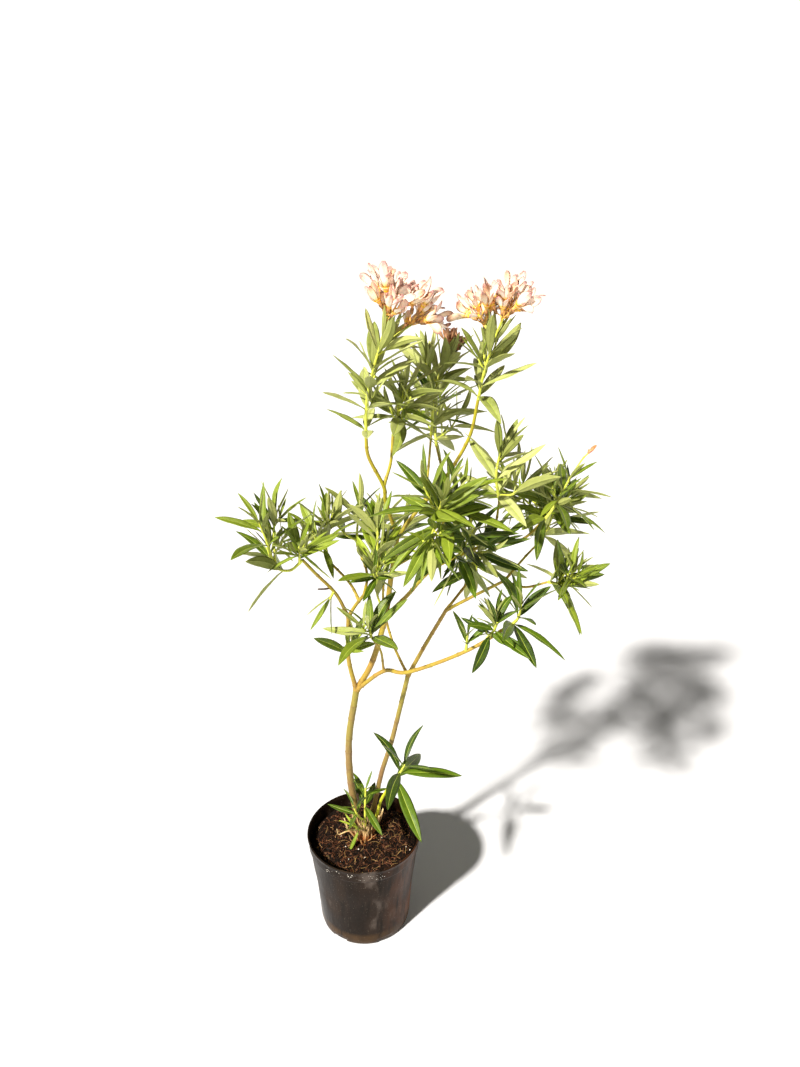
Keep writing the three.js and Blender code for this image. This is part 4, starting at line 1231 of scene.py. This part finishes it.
def petal_paint(name, throat, blush, pale, edge, roughness):
    """A petal's colour: warm at its root, pale along it and pinker at its edge."""
    material, tree, shader = material_of(name, roughness, Subsurface_Weight=0.0)
    run = spread(tree, mark_of(tree, "along"), [throat, pale, pale, blush, edge], 0.04, 1.0)
    worn = ranged(tree, grains(tree, 7, 3), 0.45, 0.6, 0.15, 1)
    edging = ranged(tree, mark_of(tree, "across"), 0.6, 1.0, 0, 0.9)
    rim = worked(tree, "MULTIPLY", edging, worn)
    streaks = ranged(tree, grains(tree, 1.3, 3, (1, 1, 0.3)), 0.54, 0.72, 0, 0.3)
    tinted = blended(tree, rim, run, paint(*edge))
    tree.links.new(blended(tree, streaks, tinted, paint(*blush)), shader.inputs["Base Color"])
    embossed(tree, shader, grains(tree, 1.6, 4), 0.4)
    return material


def plain_paint(name, colours, size, roughness=0.5):
    """A soft, faintly grained skin that drifts between two colours."""
    material, tree, shader = material_of(name, roughness)
    tree.links.new(spread(tree, grains(tree, size, 4), colours), shader.inputs["Base Color"])
    embossed(tree, shader, grains(tree, size * 0.5, 3), 0.2)
    return material


pink_petal = petal_paint("petal_pink", *PINK, 0.5)
brown_petal = petal_paint("petal_spent", *BROWN, 0.7)
worn_petal = petal_paint("petal_worn", *WORN, 0.6)
stalk_green = plain_paint("flower_stalk", STALK_GREEN, 6)
tube_salmon = plain_paint("flower_tube", TUBE_SALMON, 5)
throat_gold = plain_paint("flower_throat", THROAT_GOLD, 3)
tube_spent = plain_paint("flower_tube_spent", TUBE_SPENT, 4)
throat_spent = plain_paint("flower_throat_spent", THROAT_SPENT, 3)
calyx_green = plain_paint("flower_calyx", CALYX_GREEN, 4)
petals_piece = petals.made("flower_petals", pink_petal, brown_petal, worn_petal)
tubes_piece = tubes.made("flower_tubes", stalk_green, tube_salmon, throat_gold, tube_spent,
                         throat_spent, calyx_green)
for piece in (petals_piece, tubes_piece):
    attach(piece, "root")
    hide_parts(*[mass["name"] for mass in MASSES if mass["flowers"]])

# ---------------------------------------------------------------- the closed bud
# One orange-red bud on a thin stalk past the right-hand end of the crown, with a second, tiny
# one beside it: slim spindles of furled petals.
BUD_OUTLINE = [(0, 0.9), (0.12, 1.4), (0.3, 1.9), (0.55, 2.6), (0.8, 2.0), (0.94, 1.0), (1, 0.3)]
BUD_SIDES = 20
BUD_TWIST = 1.8
BUD_FURL = 0.12
BUD_RED = [(214, 96, 62), (232, 150, 96)]
# How far each bud leans from its shoot, and its size beside the large one.
BUD_PAIR = ((0, 1), (0.5, 0.45))


def bud_rings(root, way, length, size):
    """A closed bud: a spindle whose five furled petals wind round it."""
    rings = []
    for share, radius in BUD_OUTLINE:
        centre = root + way * share * length * size
        rings.append(np.array([
            centre + square_to(way, a + share * BUD_TWIST) * radius * size
            * (1 + BUD_FURL * math.cos(PETALS * a))
            for a in np.arange(BUD_SIDES) * 2 * np.pi / BUD_SIDES
        ]))
    return rings


buds = Skin()
for mass in MASSES:
    mass["buds"] = []
    for shoot in mass["grown"]:
        if not shoot.get("bud"):
            continue
        course = shoot["course"]
        root, heading, length = course.at(0.9), course.heading(1), shoot["bud"]
        mass["buds"].append((root, heading, length))
        for lean, size in BUD_PAIR:
            way = unit(heading + square_to(heading, 1.2) * lean)
            buds.add(bud_rings(root, way, length, size))

bud_red = plain_paint("bud_red", BUD_RED, 3)
buds_piece = buds.made("flower_buds", bud_red)
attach(buds_piece, "root")
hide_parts(*[mass["name"] for mass in MASSES if mass["buds"]])

# ---------------------------------------------------------------- the leafy spurs
# The finest growth of the crown: thread-thin green twigs that leave a shoot between its whorls
# and hold up to six small leaves. They grow into what room is left, so the places of the leaves
# on the shoots are found first, each turned until it crosses nothing.
LEAF_WIDTH_RATIO = 0.21
LEAF_THICKNESS = 1.6
LEAF_FOLD = 0.14
WHORL_LEAVES = 3
WHORL_SPACING = (4, 16, 21, 25, 29, 32)
WHORL_OPENING = (34, 54, 74, 88, 98, 104)
WHORL_WIDTH = (0.62, 0.9, 1, 1, 1, 1)
WHORL_SCALE = (0.66, 0.88, 1, 1, 0.96, 0.9)
LEAF_CLEARANCE = 0.5
LEAF_CROWDING = 5
BLADE_START = 0.16
LEAF_TRIES = 4
SHARED_BORDER = 26
BUD_RADIUS = 2.6
CROWDING_SHARES = (0.4, 0.65, 0.9)
SHOOT_SAMPLES = 6
SPUR_LENGTH = (14, 34)
SPUR_ANGLE = (30, 75)
SPUR_RADIUS = 1.2
SPUR_SIDES = 8
SPUR_LEAF = (0.55, 0.9)
SPUR_FEWEST = 2


class Rib:
    """The line of a leaf's middle rib: it sets out along its heading and sinks by its droop."""

    def __init__(self, base, axis, around, opening, length, slimness, droop):
        outward = square_to(axis, around)
        self.heading = axis * math.cos(opening) + outward * math.sin(opening)
        self.face = unit(axis - self.heading * np.dot(axis, self.heading))
        self.across = np.cross(self.heading, self.face)
        self.root = base - self.heading * ROOT_DEPTH
        self.length, self.droop = length, droop
        self.width = length * slimness * LEAF_WIDTH_RATIO

    def at(self, share):
        """The point of the rib at a share of its length."""
        sag = UP * self.droop * share * share * self.length
        return self.root + self.heading * share * self.length - sag


def leaf_places(shoot, leaf_length, openness, draw):
    """Where the leaves of a shoot stand, from its tip down, as the solids' rule says."""
    course = shoot["course"]
    from_tip = 0
    turn = 2 * math.pi * next(draw)
    for whorl in range(shoot["whorls"]):
        from_tip += WHORL_SPACING[whorl] * (0.9 + 0.2 * next(draw))
        share = max(0.06, 1 - from_tip / course.length)
        base, axis = course.at(share), course.heading(share)
        for i in range(WHORL_LEAVES):
            around = turn + math.pi / WHORL_LEAVES * whorl + 2 * math.pi / WHORL_LEAVES * i
            yield {
                "base": base,
                "axis": axis,
                "around": around + 0.3 * (next(draw) - 0.5),
                "opening": math.radians(WHORL_OPENING[whorl] * openness + 14 * (next(draw) - 0.5)),
                "length": leaf_length * WHORL_SCALE[whorl] * (0.88 + 0.24 * next(draw)),
                "slimness": WHORL_WIDTH[whorl],
                "droop": 0.05 + 0.24 * next(draw) * (whorl / 3 + 0.3),
            }


def plain_leaf(leaf, extra=0, start=0):
    """The simple blade that stands for a leaf where others keep clear of it."""
    def section(share, half, thick):
        middle = leaf.at(share)
        rise = leaf.face * (half * LEAF_FOLD * 2 + extra)
        return np.array([
            middle + leaf.across * (half + extra) + rise,
            middle - leaf.face * (thick + extra),
            middle - leaf.across * (half + extra) + rise,
        ])
    return [
        leaf.at(start)[None],
        section(0.3, leaf.width * 0.46, LEAF_THICKNESS),
        section(0.68, leaf.width * 0.42, LEAF_THICKNESS * 0.8),
        leaf.at(1 + extra / leaf.length)[None],
    ]


class Space:
    """The room that one plain solid takes: its box and its skin."""

    def __init__(self, rings):
        points = np.concatenate(rings)
        self.low, self.high = points.min(0), points.max(0)
        starts = np.cumsum([0] + [len(ring) for ring in rings])
        faces = []
        for k in range(len(rings) - 1):
            a, b = starts[k], starts[k + 1]
            na, nb = len(rings[k]), len(rings[k + 1])
            for i in range(max(na, nb)):
                j = (i + 1) % max(na, nb)
                if na == 1:
                    faces.append((a, b + j, b + i))
                elif nb == 1:
                    faces.append((a + i, a + j, b))
                else:
                    faces += [(a + i, a + j, b + j), (a + i, b + j, b + i)]
        for start, size in ((0, len(rings[0])), (starts[-2], len(rings[-1]))):
            faces += [(start, start + i, start + i + 1) for i in range(1, size - 1)]
        faces = [tuple(map(int, face)) for face in faces]
        self.tree = BVHTree.FromPolygons(points.tolist(), faces, all_triangles=True)

    def meets(self, other):
        """Whether two solids cut into one another."""
        apart = np.any(self.low > other.high) or np.any(other.low > self.high)
        return not apart and bool(self.tree.overlap(other.tree))


def limb_space(name, radii, flare):
    """The room of a limb, grown by the gap that leaves keep to it."""
    course = courses[name]
    if flare:
        rest = even_steps(course.length - FOOT_HEIGHT, LIMB_STEP * 1.4) + FOOT_HEIGHT
        steps = [0, FOOT_HEIGHT * 0.3, *rest]
    else:
        steps = even_steps(course.length, LIMB_STEP)
    radius = limb_radius(course, radii, flare)
    return Space(tube_rings(course, steps, STEM_SIDES if flare else BOUGH_SIDES, radius, GAP))


def twig_space(shoot):
    """The room of a shoot's twig."""
    steps = even_steps(shoot["course"].length, TWIG_STEP)
    return Space(tube_rings(shoot["course"], steps, TWIG_SIDES, twig_radius(shoot)))


def bud_space(root, heading, length):
    """The room of a bud."""
    middle = flower_ring(root, heading, length * 0.55, BUD_RADIUS)
    return Space([root[None], middle, (root + heading * length)[None]])


limb_spaces = [limb_space(name, radii, flare) for name, _, radii, flare in LIMBS]
for mass in MASSES:
    mass["parts"] = [twig_space(shoot) for shoot in mass["grown"]]
    mass["parts"] += [Space(plain_flower(*flower[:4])) for flower in mass["flowers"]]
    mass["parts"] += [bud_space(*bud) for bud in mass["buds"]]
    marks = np.linspace(0, 1, SHOOT_SAMPLES + 1)
    mass["samples"] = np.array([shoot["course"].at(m) for shoot in mass["grown"] for m in marks])
    mass["leaves"], mass["blades"], mass["spaces"] = [], [], []

ribs = []


def nearest(point, others):
    """How far a point is from the nearest of others."""
    return np.min(np.linalg.norm(others - point, axis=1))


def meets_others(space, own):
    """Whether a solid cuts into the twigs, leaves, flowers or buds of another mass."""
    return any(space.meets(part) for other in own["others"] for part in other["parts"] + other["spaces"])


def fits(leaf, own):
    """Whether a leaf stays in its own space, crowds no other and touches no limb."""
    tip = leaf.at(1)
    if nearest(tip, own["samples"]) > nearest(tip, own["foreign"]) + SHARED_BORDER:
        return False
    rib = [leaf.at(share) for share in CROWDING_SHARES]
    if ribs and any(nearest(point, np.array(ribs)) < LEAF_CROWDING for point in rib):
        return False
    blade = Space(plain_leaf(leaf, LEAF_CLEARANCE, BLADE_START))
    if any(blade.meets(other) for other in own["blades"] + own["parts"]):
        return False
    space = Space(plain_leaf(leaf, LEAF_CLEARANCE))
    if any(space.meets(limb) for limb in limb_spaces):
        return False
    return not meets_others(space, own)


def dress(own, shoot, leaf_length, draw, clear=True):
    """Sets the leaves of a shoot, each turned a little until it fits, and tells how many."""
    found = 0
    number = own["dressed"]
    own["dressed"] += 1
    for place in leaf_places(shoot, leaf_length, own["openness"], draw):
        for turn in [i * (next(draw) - 0.5) for i in range(LEAF_TRIES)]:
            around, opening = place["around"] + 0.9 * turn, place["opening"] + 0.12 * turn
            leaf = Rib(**{**place, "around": around, "opening": opening})
            if not clear or not fits(leaf, own):
                continue
            ribs.extend(leaf.at(share) for share in CROWDING_SHARES)
            own["spaces"].append(Space(plain_leaf(leaf)))
            own["blades"].append(Space(plain_leaf(leaf, 0, BLADE_START)))
            own["leaves"].append((leaf, number))
            found += 1
            break
    return found


for own in MASSES:
    own["dressed"] = 0
    own["others"] = [other for other in MASSES if other is not own]
    own["foreign"] = np.concatenate([other["samples"] for other in own["others"]])
for own in MASSES:
    for shoot in own["grown"]:
        dress(own, shoot, own["leaf"], own["draw"])


def spur_of(host, draw):
    """A spur that leaves its host shoot at a random place and turns upward."""
    course = host["course"]
    share = 0.1 + 0.85 * next(draw)
    root, axis = course.at(share), course.heading(share)
    lean = math.radians(mix(SPUR_ANGLE, next(draw)))
    heading = axis * math.cos(lean) + square_to(axis, 2 * math.pi * next(draw)) * math.sin(lean)
    length = mix(SPUR_LENGTH, next(draw))
    bend = root + heading * length * 0.5
    tip = bend + unit(heading + UP) * length * 0.5
    return {"whorls": 2, "course": Course([root, bend, tip]), "start": SPUR_RADIUS}


def way_is_clear(twig, own):
    """Whether a spur's twig runs through no leaf of its mass, no other mass and no limb."""
    if any(twig.meets(solid) for solid in own["blades"] + limb_spaces):
        return False
    return not meets_others(twig, own)


spurs = Skin("ring")
for own in MASSES:
    seed, count = own["spurs"]
    draw = seeded(seed)
    hosts = [shoot for shoot in own["grown"] if shoot.get("whorls")]
    own["bristly"] = False
    for _ in range(count):
        spur = spur_of(hosts[int(next(draw) * len(hosts))], draw)
        leaf_length = own["leaf"] * mix(SPUR_LEAF, next(draw))
        twig = twig_space(spur)
        found = dress(own, spur, leaf_length, draw, way_is_clear(twig, own))
        if found < SPUR_FEWEST:
            del ribs[len(ribs) - found * len(CROWDING_SHARES):]
            for kept in (own["spaces"], own["blades"], own["leaves"]):
                del kept[len(kept) - found:]
            continue
        own["parts"].append(twig)
        own["bristly"] = True
        distances = even_steps(spur["course"].length, FINE_TWIG_STEP)
        rings = tube_rings(spur["course"], distances, SPUR_SIDES, twig_radius(spur))
        spurs.add(rings, ring=0)

spurs_piece = spurs.made("leafy_spurs", green_wood)
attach(spurs_piece, "root")
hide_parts(*[mass["name"] for mass in MASSES if mass["bristly"]])

# ---------------------------------------------------------------- the leaves
# Slender, leathery blades on short stalks, in whorls of three: deep green above with a pale
# middle rib, sage green below. Each spray has one of four greens: young, full, deep or dusty. The
# darkest, which goes to the sprays low down, inside and at the back of the crown, is partly
# their own deep green and partly painted shade.
LEAF_ROWS = (0, 0.03, 0.06, 0.1, 0.15, 0.22, 0.3, 0.39, 0.48, 0.57, 0.66, 0.74, 0.82, 0.89, 0.95, 1)
LEAF_ACROSS = np.array([-1, -0.75, -0.4, -0.045, 0, 0.045, 0.4, 0.75, 1])
PETIOLE_HALF = 0.95
SHORT_LEAF = 50
BLADE_THICKNESS = 0.42
RIB_DEPTH = 0.85
RIB_GROOVE = 0.22
VEIN_SPACING = 1.7
PATCH_SIZE = 9
# The darkest pair of greens is partly the leaves' own deep green and partly painted shade.
LEAF_GREENS = {
    "young": [(82, 110, 12), (144, 162, 46)],
    "full": [(58, 84, 6), (124, 142, 40)],
    "deep": [(34, 58, 2), (80, 106, 12)],
    "dusty": [(112, 126, 50), (182, 189, 122)],
}
# The green that most sprays of a mass have, and the share of them that keep to it. The darkest
# green goes to the masses low down, inside and at the back of the crown, as painted shade over
# their own deep green.
HOMES = {
    "dusty": ("top_left", "top_right", "centre_top", "gold_up", "top_mid"),
    "deep": ("gold", "cross_node", "cross_side", "cross_tip", "sucker", "basal", "right_back", "rear"),
    "full": ("front", "front_right", "left_mid", "left_back", "gold_far", "gold_back", "rear_top",
             "right_far", "right_tip", "centre_low", "left_low", "left_spur", "left_outer"),
    "young": ("left_front", "centre"),
}
HOME_SHARE = 0.8
SAGE = [(120, 130, 58), (160, 167, 98)]
PALE_RIB = [(150, 168, 56), (172, 188, 80)]
# What each face of a leaf is made of.
UPPER_SKIN, UNDERSIDE, RIB_LINE = 0, 1, 2


def leaf_half(share):
    """Half the width of a leaf's outline, as a share of its greatest half width."""
    s = max(0, (share - 0.05) / 0.95)
    peak = 0.45**0.7 * 0.55**0.85
    return s**0.7 * (1 - s) ** 0.85 / peak


def blade_rise(share, half, wave, petiole):
    """How far each column stands above the middle: folded up, rippled, rolled at its edge."""
    out = np.abs(LEAF_ACROSS)
    fold = half * LEAF_FOLD * 2 * out**1.35 * (1 - petiole)
    ripple = 0.05 * half * np.sin(share * 17 + wave + LEAF_ACROSS * 1.5) * out
    roll = -0.10 * half * np.maximum(0, out - 0.7) / 0.3
    groove = np.where(LEAF_ACROSS == 0, -RIB_GROOVE, 0)
    return fold + ripple + roll + groove


def fine_leaf(skin, leaf, random):
    """A leathery blade with a groove along its rib above, a ridge below and a wavy edge."""
    rows = LEAF_ROWS[::1 if leaf.length > SHORT_LEAF else 3]
    under = LEAF_ACROSS[-2:0:-1]
    u = np.concatenate([LEAF_ACROSS, under])
    bow, sway = random.normal(0, 0.035), random.normal(0, 0.03)
    twist = random.normal(0, 0.35)
    wave = random.uniform(0, 6)
    rings, veins = [], []
    for share in rows:
        half = max(leaf.width / 2 * leaf_half(share), PETIOLE_HALF * min(1, (1 - share) / 0.05 + 0.12))
        petiole = max(0, 1 - share / 0.09)
        turn = twist * share
        across = leaf.across * math.cos(turn) + leaf.face * math.sin(turn)
        face = leaf.face * math.cos(turn) - leaf.across * math.sin(turn)
        offset = leaf.across * bow * math.sin(math.pi * share) + leaf.face * sway * share * (1 - share)
        middle = leaf.at(share) + offset * leaf.length
        rise = blade_rise(share, half, wave, petiole)
        top = middle + np.outer(LEAF_ACROSS * half, across) + np.outer(rise, face)
        ridge = np.maximum(0, 1 - np.abs(under) / 0.16) * RIB_DEPTH * (1 - 0.75 * share) * 0.7
        thick = BLADE_THICKNESS + petiole * 1.2 + ridge
        low_rise = np.interp(under, LEAF_ACROSS, rise) - thick * min(1, (1 - share) * 14 + 0.1)
        low = middle + np.outer(under * half, across) + np.outer(low_rise, face)
        rings.append(np.concatenate([top, low]))
        veins.append((share * leaf.length - np.abs(u) * half * 0.75) / VEIN_SPACING)
    columns = len(LEAF_ACROSS)
    stuffs = [UPPER_SKIN] * (columns - 1) + [UNDERSIDE] * (columns - 1)
    stuffs[columns // 2 - 1] = stuffs[columns // 2] = RIB_LINE
    skin.add(rings, np.array(stuffs)[None], vein=np.array(veins), tone=random.random())


def leaf_paint(name, colours, roughness, vein_depth, vein_pale):
    """Leaf skin: two greens dealt out leaf by leaf, patchy, with fine veins to the sides."""
    material, tree, shader = material_of(name, roughness, Specular_IOR_Level=0.36)
    patch = grains(tree, PATCH_SIZE, 5)
    mixed = worked(tree, "ADD", worked(tree, "MULTIPLY", mark_of(tree, "tone"), 0.6),
                   worked(tree, "MULTIPLY", patch, 0.5))
    base = spread(tree, mixed, colours, 0.25, 0.8)
    phase = worked(tree, "MULTIPLY", mark_of(tree, "vein"), 2 * math.pi)
    line = ranged(tree, worked(tree, "SINE", phase, 0), 0.3, 1.0, 0, 1)
    pale = paint(*[min(255, c * 1.18 + 14) for c in colours[-1]])
    tree.links.new(blended(tree, worked(tree, "MULTIPLY", line, vein_pale), base, pale),
                   shader.inputs["Base Color"])
    embossed(tree, shader, worked(tree, "ADD", line, worked(tree, "MULTIPLY", patch, 2)), vein_depth)
    return material


sage = leaf_paint("leaf_underside", SAGE, 0.62, 0.12, 0.25)
rib_pale = plain_paint("leaf_rib", PALE_RIB, 8)
leaf_random = np.random.default_rng(77)
sprays = {green: Skin("vein", "tone") for green in LEAF_GREENS}
dressed = {green: set() for green in LEAF_GREENS}
for mass in MASSES:
    short_name = mass["name"].removeprefix("foliage_")
    home = next(green for green, names in HOMES.items() if short_name in names)
    strays = leaf_random.choice(list(LEAF_GREENS), mass["dressed"])
    tints = np.where(leaf_random.random(len(strays)) < HOME_SHARE, home, strays)
    tints[0] = home
    for leaf, number in mass["leaves"]:
        green = str(tints[number])
        fine_leaf(sprays[green], leaf, leaf_random)
        dressed[green].add(mass["name"])
for green, colours in LEAF_GREENS.items():
    top = leaf_paint("leaf_top_" + green, colours, 0.4, 0.16, 0.22)
    leaves = sprays[green].made("leaves_" + green, top, sage, rib_pale)
    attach(leaves, "root")
    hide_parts(*sorted(dressed[green]))

# ---------------------------------------------------------------- the floor, the light and the camera
# A pale floor that runs off into a pale room, one broad warm light high on the left in front,
# and the camera at head height, looking down on the plant.
FLOOR_REACH = 9
FLOOR_PAINT = (222, 226, 238)
LAMP_AIM = Vector((0.05, 0.0, 0.6))
SUN_SPOT = (-1.4, -1.7, 2.6)
SUN_WIDTH = 4
SUN_STRENGTH = 7.6
SUN_COLOUR = (1.0, 0.93, 0.8)
CAMERA_SPOT = (0.064, -1.100, 1.230)
CAMERA_TILT = 66.9
LENS = 27
ROOM_COLOUR = (1, 0.93, 0.78, 1)
HORIZON_LIGHT = 1.3
CEILING_LIGHT = 0.1
HORIZON = (0.19, 0.36)

floor_mesh = bpy.data.meshes.new("floor")
corners = [(-FLOOR_REACH, -FLOOR_REACH, 0), (FLOOR_REACH, -FLOOR_REACH, 0),
           (FLOOR_REACH, FLOOR_REACH, 0), (-FLOOR_REACH, FLOOR_REACH, 0)]
floor_mesh.from_pydata(corners, [], [(0, 1, 2, 3)])
floor_material, tree, shader = material_of("pale_floor", 0.9, Specular_IOR_Level=0.1)
shader.inputs["Base Color"].default_value = paint(*FLOOR_PAINT)
floor_mesh.materials.append(floor_material)
floor = bpy.data.objects.new("floor", floor_mesh)
bpy.context.scene.collection.objects.link(floor)

world = bpy.data.worlds.new("pale_room")
world.use_nodes = True
tree = world.node_tree
height = place_along(tree, "Z", "Generated")
light = ranged(tree, height, *HORIZON, HORIZON_LIGHT, CEILING_LIGHT)
tree.links.new(light, tree.nodes["Background"].inputs["Strength"])
tree.nodes["Background"].inputs["Color"].default_value = ROOM_COLOUR
bpy.context.scene.world = world

sun_data = bpy.data.lights.new("key_light", "SUN")
sun_data.energy = SUN_STRENGTH
sun_data.angle = math.radians(SUN_WIDTH)
sun_data.color = SUN_COLOUR
sun = bpy.data.objects.new("key_light", sun_data)
sun.location = SUN_SPOT
sun.rotation_euler = (LAMP_AIM - Vector(SUN_SPOT)).to_track_quat("-Z", "Y").to_euler()
bpy.context.scene.collection.objects.link(sun)
bpy.context.scene.view_settings.view_transform = "Standard"

camera_data = bpy.data.cameras.new("camera")
camera_data.lens = LENS
camera = bpy.data.objects.new("camera", camera_data)
camera.location = CAMERA_SPOT
camera.rotation_euler = (math.radians(CAMERA_TILT), 0, 0)
bpy.context.scene.collection.objects.link(camera)
bpy.context.scene.camera = camera
